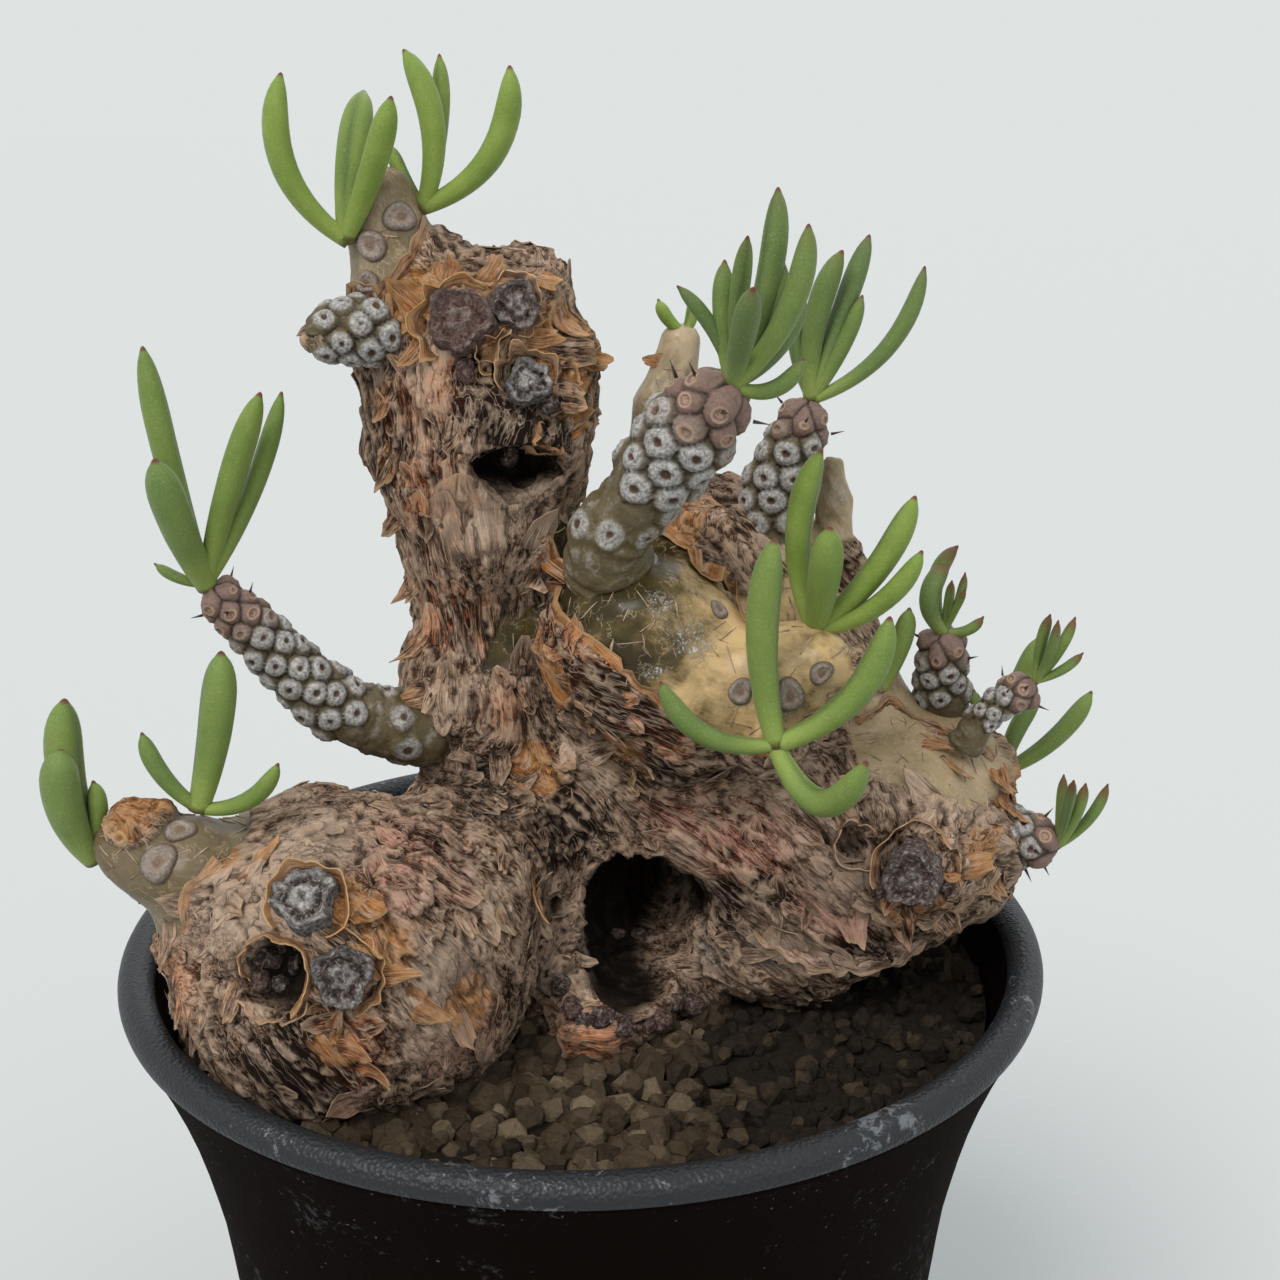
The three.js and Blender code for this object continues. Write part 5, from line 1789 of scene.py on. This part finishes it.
@dataclass
class YoungStem:
    """One knobbly young stem, with its leaf cushions pressed out of a fine tube."""

    name: str
    stations: list[Station]
    node: str
    bare: float = 0.0
    slot: str = "young_stem"
    dry: int = 9
    young_from: float = 0.78
    sides: int = 72
    ring_step: float = 0.3
    cap_rings: int = 8

    def line(self, count: int) -> tuple[Array, Array]:
        """Bends a smooth centre line through the stations.

        Args:
            count: How many points it gets.

        Returns:
            The points, one row each, and the radius at each.
        """
        rows = np.array(self.stations, float)
        padded = np.vstack([2 * rows[0] - rows[1], rows, 2 * rows[-1] - rows[-2]])
        made, at = [], np.linspace(0, len(rows) - 1, count)
        for place in at:
            i = min(int(place), len(rows) - 2)
            t = place - i
            p0, p1, p2, p3 = padded[i : i + 4, :3]
            bend = (2 * p0 - 5 * p1 + 4 * p2 - p3) * t**2 + (3 * p1 - p0 - 3 * p2 + p3) * t**3
            made.append(0.5 * (2 * p1 + (p2 - p0) * t + bend))
        return np.array(made), np.interp(at, range(len(rows)), rows[:, 3])

    def cushions(self) -> tuple[Array, Array, Array]:
        """Sets the leaf cushions out in a spiral.

        Returns:
            Their middles on the skin, their sizes, and how far up the stem each is.
        """
        points, radii = self.line(400)
        travelled = travel(points)
        tangent = curve_frames(points, STEM_SIDE)[0]
        random = np.random.default_rng(len(self.name) * 977 + len(self.stations))
        spots, sizes, rises = [], [], []
        along, n = 0.6, 0
        while along < travelled[-1] + 0.8:
            i = int(np.clip(np.searchsorted(travelled, along), 0, len(points) - 1))
            side = Vector(unit(np.cross(STEM_SIDE, tangent[i])))
            outward = np.array(Matrix.Rotation(n * GOLDEN_ANGLE, 3, Vector(tangent[i])) @ side)
            apart = 0.62 * radii[i] + 1.15
            spots.append(points[i] + outward * radii[i] + 0.15 * random.standard_normal(3))
            sizes.append(apart / 2 * random.uniform(0.9, 1.1))
            rises.append(min(along / travelled[-1], 1.0))
            along += 0.87 * apart**2 / (2 * math.pi * radii[i]) * random.uniform(0.85, 1.15)
            n += 1
        return np.array(spots), np.array(sizes), np.array(rises)

    def build(self, finish: Material) -> None:
        """Builds the stem with the small dry spines at its tip.

        Args:
            finish: Its finish.
        """
        length = travel(np.array(self.stations)[:, :3])[-1]
        rings = int(length / self.ring_step)
        steps = rings + self.cap_rings
        tube = tube_blank(self.sides, steps)
        rows = places(tube)
        points, radii = self.line(rings + 1)
        tangent, wide, through = curve_frames(points, STEM_SIDE)
        step = np.rint(rows[:, 2] * steps).astype(int)
        ring, dome = np.minimum(step, rings), np.clip((step - rings) / self.cap_rings, 0, 1) * math.pi / 2
        angle = polar(rows)[1]
        outward = np.cos(angle)[:, None] * wide[ring] + np.sin(angle)[:, None] * through[ring]
        skin = points[ring] + outward * (radii[ring] * (np.cos(dome) * 0.999 + 0.001))[:, None]
        skin += tangent[ring] * (np.sin(dome) * radii[-1] * 0.75)[:, None]
        normal = unit(outward * np.cos(dome)[:, None] + tangent[ring] * np.sin(dome)[:, None])
        spots, sizes, rises = self.cushions()
        away = np.linalg.norm(skin[:, None, :] - spots[None], axis=2) / sizes[None]
        order = np.argsort(away, axis=1)[:, :2]
        near, second = np.take_along_axis(away, order, 1).T
        near = near + 0.06 * noise(skin / 0.8)
        rise, size = rises[order[:, 0]], sizes[order[:, 0]]
        grown = smooth_step(self.bare - 0.02, self.bare + 0.12, rise)
        kept = np.where((order[:, 0] % 3 == 0) | (grown > 0.6), 1.0, 0.0)
        gap = (1 - smooth_step(0.02, 0.30, second - near)) * (0.25 + 0.75 * grown)
        bump = 0.5 * np.sqrt(np.maximum(1 - (near / 1.12) ** 2, 0)) + 0.12 * np.exp(-(((near - 0.45) / 0.14) ** 2))
        bump -= 0.30 * (1 - smooth_step(0.14, 0.34, near)) - 0.14 * (1 - smooth_step(0.03, 0.15, near))
        height = size * (bump * kept * (0.35 + 0.65 * grown) - 0.22 * gap)
        wrinkle = noise(columns(rows[:, 2] * length / 0.9, np.cos(angle), np.sin(angle)) + 5)
        height += (1 - grown) * 0.35 * wrinkle + 0.06 * fractal(skin, 0.9, 3)
        height *= smooth_step(0.0, 0.06, ring / rings) * 0.9 + 0.1
        put_places(tube, skin + normal * height[:, None])
        young = smooth_step(self.young_from, self.young_from + 0.14, rise)
        values = {
            "out": np.where(kept > 0.5, near, 1.2), "gap": gap * (0.3 + 0.7 * grown), "young": young,
            "dome": bump, "chalk": (0.45 + 0.55 * grown) * (1 - young),
        }
        for name, value in values.items():
            put_values(tube, name, value)
        pieces = [tube, self.spines(spots, sizes, points)] if self.dry else [tube]
        finish_piece(join(pieces), f"{self.name}_skin", self.slot, self.node, finish)

    def spines(self, spots: Array, sizes: Array, points: Array) -> Piece:
        """Models the dry dark leaf stalks left on the newest cushions.

        Args:
            spots: The cushions' middles.
            sizes: Their sizes.
            points: The stem's centre line.

        Returns:
            The spines.
        """
        spine = primitive("cone", vertices=6, radius1=0.5, radius2=0.05, depth=1, location=(0, 0, 0.5))
        copies = Copies()
        for n in range(max(len(spots) - self.dry, 0), len(spots), 2):
            centre = points[np.argmin(np.linalg.norm(points - spots[n], axis=1))]
            outward, tip = unit(spots[n] - centre), unit(points[-1] - points[-2])
            rows = places(spine) * (0.36 * sizes[n], 0.26 * sizes[n], 1.1 * sizes[n])
            turned = rows @ basis_rows(unit(outward + 0.6 * tip), np.array((0.1, 0.9, 0.3)))
            foot = spots[n] + (0.5 * outward + 0.35 * tip) * sizes[n]
            copies.add(spine, turned + foot, out=1.2, gap=0.8, young=1.0, dome=0.0, chalk=0.0)
        remove(spine)
        return copies.piece()


class Tone(Enum):
    """How a tuft's leaves are coloured: how much blue, and how far the red reaches from the tip."""

    FRESH = (0.0, 0.0)
    GREEN = (0.35, 0.1)
    RED_TIPPED = (0.6, 0.6)
    BUD = (0.5, 1.0)


@dataclass
class LeafTuft:
    """One tuft of finger-like leaves."""

    name: str
    base: tuple[float, float, float]
    leaves: list[tuple[float, float, float, float, float]]
    tone: Tone = Tone.GREEN
    sides: int = 20
    rings: int = 22
    plump: float = 1.06

    def leaf(self, blank: Piece, row: Sequence[float]) -> tuple[Array, Array, Array]:
        """Wraps the blank into one leaf.

        Args:
            blank: A straight tube.
            row: Heading, lean, length, bow and width.

        Returns:
            The leaf's vertices, how far along each is, and how deep in the channel.
        """
        heading, tilt = np.radians(row[:2])
        length, bow, width = row[2:]
        base, up = np.array(self.base, float), np.array((0.0, 0.0, 1.0))
        out = np.array((math.cos(heading), math.sin(heading), 0.0))
        chord = out * math.sin(tilt) + up * math.cos(tilt)
        sag = out * math.cos(tilt) - up * math.sin(tilt)
        root, tip = base - 0.5 * chord, base + chord * length
        bend = base + chord * length / 2 + sag * 2 * bow
        t = np.linspace(0, 1, self.rings + 1)[:, None]
        points = (1 - t) ** 2 * root + 2 * t * (1 - t) * bend + t**2 * tip
        tangent, wide, through = curve_frames(points, (-out[1], out[0], 0.0))
        rows = places(blank)
        angle = polar(rows)[1]
        along = np.rint(rows[:, 2] * self.rings) / self.rings
        eased = np.where(along < 0.5, along, 0.5 + 0.5 * np.sin((along - 0.5) * math.pi))
        swell = 0.58 + 0.42 * np.sin(np.minimum(eased / 0.7, 1) * math.pi / 2)
        taper = np.maximum(1 - (np.maximum(eased - 0.7, 0) / 0.301) ** 2.3, 0) ** 0.56
        full = width / 2 * self.plump * np.maximum(np.where(eased < 0.7, swell, taper), 0.03)
        inner = 1.0 if through[len(through) // 2] @ -out > 0 else -1.0
        groove = np.exp(-((np.cos(angle) / 0.3) ** 2)) * (np.sin(angle) * inner > 0) * np.sin(along * math.pi) ** 0.7
        u, v = np.cos(angle) * full, np.sin(angle) * full * (0.92 - 0.16 * groove)
        centre, wides, throughs = (
            columns(*(np.interp(eased, t[:, 0], line) for line in lines.T)) for lines in (points, wide, through)
        )
        shaped = centre + u[:, None] * wides + v[:, None] * throughs
        shaped += tangent[-1] * (0.35 * smooth_step(0.985, 1, eased))[:, None]
        return shaped, eased, groove

    def build(self, blank: Piece, finish: Material) -> None:
        """Builds the tuft.

        Args:
            blank: A straight tube with the leaves' sides and rings.
            finish: The leaves' finish.
        """
        copies = Copies()
        blue, red = self.tone.value
        for n, row in enumerate(self.leaves):
            rows, along, groove = self.leaf(blank, row)
            rows = rows + 0.05 * unit(rows - rows.mean(0)) * fractal(rows, 3.0, 2)[:, None]
            tint = max(blue + (0.0, 0.18, -0.12)[n % 3], 0.0)
            copies.add(blank, rows, along=along, channel=groove, blue=tint, red=red)
        node = f"leaves_{self.name}"
        finish_piece(copies.piece(), f"{node}_green", "leaf", node, finish)


@dataclass
class Plant:
    """The caudex with its bark, stubs, young stems and leaves."""

    stems: dict[str, list[Station]]
    bare: dict[str, float]
    tufts: dict[str, dict[str, object]]
    tuft_lift: float = 1.9

    def tip(self, name: str) -> Array:
        """Where the tuft on a stem's end grows from."""
        points, _ = YoungStem(name, self.stems[name], "").line(200)
        return points[-1] + self.tuft_lift * unit(points[-1] - points[-2])

    def build(self, caudex: Caudex) -> None:
        """Builds every piece of the plant.

        Args:
            caudex: The body, not yet built.
        """
        caudex.build()
        paper = BarkPaper(caudex)
        paper.build()
        skin = StemFinish().material()
        DeadStubs(paper).build(skin)
        for name, stations in self.stems.items():
            node = f"stem_{name}"
            YoungStem(node, stations, node, self.bare.get(name, 0.1)).build(skin)
        YoungStem("side_nub", SIDE_NUB, "caudex", slot="bark", dry=0, young_from=2.0).build(skin)
        green, blank = LeafFinish().material(), tube_blank(LeafTuft.sides, LeafTuft.rings)
        for name, row in self.tufts.items():
            base = row["base"] if "base" in row else self.tip(row["stem"])
            LeafTuft(name, base, row["leaves"], row["tone"]).build(blank, green)
        remove(blank)


SIDE_NUB: list[Station] = [(-21.5, -3.2, 178.2, 3.6), (-26, -5, 178.5, 3.5), (-29.6, -6.2, 178.1, 2.7)]
STEMS: dict[str, list[Station]] = {
    "upperMain": [
        (4, -11, 151, 5.6), (4, -14, 155.5, 4.7), (7.5, -16, 161.5, 4.2), (13, -18, 169, 4.8),
        (16.5, -20, 173.5, 3.2),
    ],
    "upperRight": [(23.5, 7, 149.5, 4.8), (25, 6, 157, 4), (27, 5, 163.5, 3.2), (28.2, 5, 167, 2.3)],
    "leftMid": [
        (-17, -1, 127, 5.4), (-23, -6, 129.8, 4.6), (-29, -9, 132.8, 3.8), (-34.5, -11, 138.8, 3.1),
        (-39, -12, 144.6, 2.7), (-42.3, -13, 148.6, 2.1),
    ],
    "rightUpper": [(48, 9, 124, 4), (47, 6.5, 131.5, 3), (46.8, 5, 137, 2.6)],
    "rightThin": [(49, -1, 125, 2.4), (52, -2, 130, 1.6), (56, -2, 133, 2.2)],
    "rightEnd": [(52, 2, 112, 4.2), (56.5, 1, 111.3, 3.4), (60.5, 0, 111, 2.8)],
}
# How far up each stem its cushions are worn smooth.
BARE: dict[str, float] = {
    "upperMain": 0.42, "upperRight": 0.15, "leftMid": 0.34, "rightUpper": 0.35, "rightThin": 0.3,
}
TUFTS: dict[str, dict[str, object]] = {
    "topLeft": {
        "base": (-26.5, -3.5, 189), "tone": Tone.FRESH,
        "leaves": [(195, 20, 19, 3.5, 3.3), (80, 28, 18, -1.5, 3.6), (-30, 25, 17, 0.5, 3.1)],
    },
    "topRight": {
        "base": (-18, -0.5, 192.5), "tone": Tone.FRESH,
        "leaves": [
            (-20, -5, 17, 2.5, 3.1), (60, 15, 17, 1.5, 2.2), (0, 35, 18.5, 3.5, 3.4), (160, 30, 7.5, 0.5, 1.8),
        ],
    },
    "leftMid": {
        "stem": "leftMid", "tone": Tone.GREEN,
        "leaves": [
            (190, 10, 28, 0.5, 3.3), (240, 22, 17, 0.5, 4.2), (-10, 20, 24, -0.5, 3.3), (20, 25, 24, 1, 2.5),
            (190, 65, 6, 0.5, 1.4),
        ],
    },
    "leftEnd": {
        "base": (-56, -25, 120.5), "tone": Tone.GREEN,
        "leaves": [(170, 5, 19, 1.5, 4.4), (215, 10, 14, 1.5, 4.7), (20, 5, 9, 0.5, 2.4)],
    },
    "leftStub": {
        "base": (-43.5, -24.5, 126.5), "tone": Tone.GREEN,
        "leaves": [(20, 12, 18.5, 0.5, 4.3), (200, 30, 11, 1, 2.3), (-10, 60, 11.5, 2, 2.3)],
    },
    "upperMain": {
        "stem": "upperMain", "tone": Tone.RED_TIPPED,
        "leaves": [
            (30, 15, 21, 1.5, 2.9), (190, 30, 12, -1, 1.8), (200, 5, 13, 0.5, 2.5), (100, -20, 17, 1, 2),
            (-80, 38, 14, 0, 2.8), (-10, 25, 18.5, 2, 3), (25, 25, 14, 1.5, 2.3), (35, 50, 13, 1.5, 2.2),
            (0, 72, 8, 2, 2.1),
        ],
    },
    "upperBack": {
        "base": (13, 7.5, 176.5), "tone": Tone.FRESH, "leaves": [(190, 40, 5, 0.5, 1.8), (40, 20, 4, 0.5, 1.6)],
    },
    "upperRight": {
        "stem": "upperRight", "tone": Tone.RED_TIPPED,
        "leaves": [
            (-20, 10, 18, -1.5, 3.2), (20, 20, 20.5, 0, 2.8), (0, 25, 13.5, 0.5, 2.3), (0, 40, 20.5, 3, 2.4),
            (160, 10, 12.5, 1, 2.2),
        ],
    },
    "middle": {
        "base": (28, -15.5, 145.2), "tone": Tone.FRESH,
        "leaves": [(150, 0, 21, 2.5, 3.3), (-80, 20, 14, 0.5, 3.7), (0, 35, 19, 1.5, 3.3), (-15, 50, 15.5, 2, 2.7)],
    },
    "front": {
        "base": (23.1, -24.8, 134.6), "tone": Tone.GREEN,
        "leaves": [(165, 2, 23.5, 1.5, 4), (190, 60, 15.5, 3, 2.7), (0, 40, 19, 3, 3.6), (-40, 88, 12, 6, 3.5)],
    },
    "behind": {
        "base": (36.5, 12, 140.5), "tone": Tone.FRESH,
        "leaves": [(150, 10, 8.5, 0.5, 1.8), (-80, 10, 6.5, 0, 1.9), (20, 35, 7, 0.5, 1.9)],
    },
    "rightUpper": {
        "stem": "rightUpper", "tone": Tone.BUD,
        "leaves": [
            (160, -5, 11, 2, 2.4), (215, 0, 9, 3, 2.6), (-10, 70, 5, 1, 1.5), (90, -25, 8, 0, 1.2),
            (20, 20, 7.5, 0.5, 1.2), (-60, 30, 7, 0, 1.2),
        ],
    },
    "rightLow": {
        "base": (38.7, 3.3, 131.3), "tone": Tone.GREEN, "leaves": [(10, 18, 10.8, 0.5, 2.8), (200, 35, 4, 0.5, 1.6)],
    },
    "rightThin": {
        "stem": "rightThin", "tone": Tone.BUD,
        "leaves": [(120, -10, 9, 0.5, 1.5), (-60, 20, 9, 0.5, 1.3), (10, 30, 9, 0.5, 1.5), (-10, 55, 6.5, 0.5, 1.3)],
    },
    "rightBehind": {
        "base": (53.5, 4.5, 125.5), "tone": Tone.GREEN, "leaves": [(5, 25, 13, 0.5, 2.6), (150, 30, 5, 0.5, 1.6)],
    },
    "rightSide": {
        "base": (56.5, 9, 117.5), "tone": Tone.GREEN, "leaves": [(0, 45, 15.5, 1.5, 2.7), (35, 32, 11, -1, 2.5)],
    },
    "rightEnd": {
        "stem": "rightEnd", "tone": Tone.BUD,
        "leaves": [(150, 0, 9.5, 0, 1.5), (90, -25, 12, 0, 1.5), (-50, 20, 10, 0.5, 1.7), (0, 35, 10, 1, 1.6)],
    },
}


@dataclass
class Pot:
    """The round nursery pot, turned from its profile, with drain holes."""

    rim_radius: float = 60
    height: float = 100
    foot_radius: float = 43.5
    floor: float = 4.8
    wall: float = 2.2
    lip: tuple[float, float] = (2.25, 2.2)
    turns: int = 160
    drill_length: float = 12
    hole_radius: float = 3.5
    hole_circle: float = 26
    holes: int = 6
    rim_start: float = 96.6

    def profile(self) -> Outline:
        """Draws the pot's section.

        Returns:
            Radius and height, from the foot's middle, up and round inside.
        """
        foot, floor = self.foot_radius, self.floor
        side = [
            (foot + 0.6, 0.4), (44.4, 1.4), (44.6, 10), (45.6, 25), (46.7, 40), (47.7, 50), (48.8, 60), (49.5, 65.5),
            (50.4, 70), (51.5, 75), (52.8, 80), (54.4, 85), (56.3, 90), (57.6, 93), (58.9, 95.6), (59.25, 96.3),
            (59.2, 96.7), (59.55, 96.9),
        ]
        rim, (wide, high) = [], self.lip
        for angle in np.radians(range(-20, 201, 14)):
            rim.append(
                (self.rim_radius - wide + wide * math.cos(angle), self.height - high + high * math.sin(angle))
            )
        inner = [(r - self.wall - 0.15, z) for r, z in reversed(side[:14]) if z > 7]
        bottom = [(foot - self.wall - 1.2, floor + 0.4), (foot - self.wall - 3, floor), (14, floor), (0, floor)]
        base = [(0, 0), (15, 0), (16, 2.2), (38.5, 2.2), (39.5, 0), (foot, 0)]
        return [*base, *side, *rim, *inner, *bottom]

    def build(self) -> None:
        """Builds the pot."""
        pot = primitive("plane", size=1)
        mesh = bmesh.new()
        points = [mesh.verts.new((radius, 0, height)) for radius, height in self.profile()]
        for first, second in zip(points[:-1], points[1:]):
            mesh.edges.new((first, second))
        mesh.to_mesh(pot.data)
        mesh.free()
        with editing(pot):
            bpy.ops.mesh.spin(steps=self.turns, angle=2 * math.pi, center=(0, 0, 0), axis=(0, 0, 1))
            bpy.ops.mesh.select_all(action="SELECT")
            bpy.ops.mesh.remove_doubles(threshold=0.002)
            bpy.ops.mesh.normals_make_consistent(inside=False)
        for n in range(self.holes):
            angle = (n + 0.5) * 2 * math.pi / self.holes
            place = (self.hole_circle * math.cos(angle), self.hole_circle * math.sin(angle), 3)
            drill = primitive(
                "cylinder", False, vertices=32, radius=self.hole_radius, depth=self.drill_length, location=place
            )
            apply_modifier(pot, "BOOLEAN", operation="DIFFERENCE", object=drill, solver="EXACT")
            remove(drill)
        body = PotFinish("pot_body", (0.0046, 0.0024, 0.0018), 0.80, 0.02, 0.25)
        rim = PotFinish("pot_rim", (0.0130, 0.0145, 0.0175), 0.44, 0.32, 1.0)
        finish_piece(pot, "pot_shell", "pot", "pot", body.material(), Shading.CRISP)
        pot.data.materials.append(rim.material())
        for face in pot.data.polygons:
            face.material_index = int(face.center.z > self.rim_start * METRES_PER_MM)


@dataclass
class Gravel:
    """Coarse angular grains on the fill."""

    level: float = 92
    reach: float = 52.4
    grains: int = 2600
    kinds: int = 12
    cuts: int = 8
    grain_radius: float = 0.58
    bed_radii: tuple[float, float] = (39, 53.2)
    bed_depth: float = 86
    bed_middle: float = 48.2
    buried: float = 1.2
    seed: int = 41

    def grain(self, random: np.random.Generator) -> Piece:
        """Models one grain: a ball cut flat on several sides.

        Args:
            random: Where its cuts are drawn from.

        Returns:
            The grain.
        """
        grain = primitive("ico_sphere", subdivisions=1, radius=self.grain_radius)
        with editing(grain):
            for _ in range(self.cuts):
                facing = Vector(random.standard_normal(3)).normalized()
                spot = facing * random.uniform(0.3, 0.46)
                bpy.ops.mesh.bisect(plane_co=spot, plane_no=facing, use_fill=True, clear_outer=True)
                bpy.ops.mesh.select_all(action="SELECT")
            bpy.ops.mesh.dissolve_limited(angle_limit=math.radians(12))
        return grain

    def build(self, caudex: Caudex) -> None:
        """Builds the fill and the grains that lie on it.

        Args:
            caudex: The body that the grains keep clear of.
        """
        random, copies = np.random.default_rng(self.seed), Copies()
        foot, top = self.bed_radii
        bed = primitive(
            "cone", vertices=96, radius1=foot, radius2=top, depth=self.bed_depth, location=(0, 0, self.bed_middle)
        )
        copies.add(bed, places(bed), tint=0.0)
        models = [self.grain(random) for _ in range(self.kinds)]
        radius = self.reach * np.sqrt(random.random(self.grains * 3))
        angle = random.random(self.grains * 3) * 2 * math.pi
        spots = columns(radius * np.cos(angle), radius * np.sin(angle), self.level)
        spots = spots[caudex.distance(spots) > -self.buried][: self.grains // 1]
        shade = smooth_step(9, 24, spots[:, 0] + 2.5 * noise(spots / 5)) * smooth_step(12, -4, spots[:, 1])
        shade = np.maximum(shade, 0.5 * smooth_step(0, 12, spots[:, 1]))
        for spot, dark in zip(spots, shade):
            size = random.uniform(2.3, 4.6) * (1 - 0.3 * dark) * (1.2 if random.random() < 0.1 else 1)
            spin = Matrix.Rotation(random.uniform(0, 6.28), 3, Vector(random.standard_normal(3)).normalized())
            model = models[random.integers(len(models))]
            rows = places(model) * random.uniform(0.75, 1.15, 3) * size
            lift = random.uniform(-2.0, 0.8) - 0.4
            tint = np.clip(random.normal(0.50, 0.18) - 0.50 * dark, 0, 1)
            copies.add(model, rows @ np.array(spin) + spot + (0, 0, lift), tint=tint)
        remove(*models, bed)
        finish = GravelFinish().material()
        finish_piece(copies.piece(), "gravel_grains", "gravel", "gravel", finish, Shading.FACETED)


@dataclass
class Studio:
    """Camera, plain pale floor and soft light."""

    aim: tuple[float, float, float] = (7.5, 0, 138.8)
    distance: float = 224.9
    elevation: float = 17.82
    lens: float = 50
    sensor: float = 36
    backdrop: Colour = (0.735, 0.770, 0.765)
    floor: Colour = (0.499, 0.513, 0.516)
    floor_size: float = 12
    floor_drop: float = 0.0002

    def add(self, name: str, data: bpy.types.ID, place: Vector, back: Vector) -> Piece:
        """Adds a camera or a light.

        Args:
            name: Its name.
            data: Its settings.
            place: Where it stands.
            back: The direction opposite to the one that it looks in.

        Returns:
            The new object.
        """
        made = bpy.data.objects.new(name, data)
        made.location = place
        made.rotation_euler = (-back).to_track_quat("-Z", "Y").to_euler()
        bpy.context.scene.collection.objects.link(made)
        return made

    def sun(self, name: str, place: Colour, power: float, width: float, colour: Colour) -> None:
        """Sets up one soft distant light.

        Args:
            name: The light's name.
            place: The direction that it comes from.
            power: Its power, in watts a square metre.
            width: How wide it looks, in degrees.
            colour: Its colour.
        """
        data = bpy.data.lights.new(name, "SUN")
        data.energy, data.angle, data.color = power, math.radians(width), colour
        self.add(name, data, Vector(place), Vector(place))

    def build(self) -> None:
        """Builds the studio."""
        scene = bpy.context.scene
        tilt = math.radians(self.elevation)
        back = Vector((0, -math.cos(tilt), math.sin(tilt)))
        data = bpy.data.cameras.new("camera")
        data.lens, data.sensor_width, data.sensor_fit = self.lens, self.sensor, "HORIZONTAL"
        data.clip_start, data.clip_end = 0.01, 20
        scene.camera = self.add("camera", data, (Vector(self.aim) + back * self.distance) * METRES_PER_MM, back)
        paint = Paint("studio_floor")
        paint.set(base_color=self.floor, roughness=0.9, specular_ior_level=0.1)
        floor = primitive("plane", False, size=self.floor_size, location=(0, 0, -self.floor_drop))
        floor.name = "studio_floor"
        floor.data.materials.append(paint.material)
        self.sun("key", (-0.5, -0.75, 1.15), 2.0, 30, (1.0, 0.975, 0.94))
        self.sun("fill", (0.9, -0.7, 0.8), 0.5, 60, (0.95, 0.98, 1.0))
        self.sun("rim", (0.2, 0.9, 0.9), 0.6, 50, (0.97, 0.98, 1.0))
        scene.world = bpy.data.worlds.new("studio")
        scene.world.use_nodes = True
        scene.world.node_tree.nodes["Background"].inputs["Color"].default_value = (*self.backdrop, 1)
        scene.view_settings.view_transform = "Standard"


def main() -> None:
    """Builds every piece in order."""
    logging.basicConfig(level=logging.INFO, format="%(name)s: %(message)s")
    Studio().build()
    Pot().build()
    caudex = Caudex()
    Plant(STEMS, BARE, TUFTS).build(caudex)
    Gravel().build(caudex)


if __name__ == "__main__":
    main()
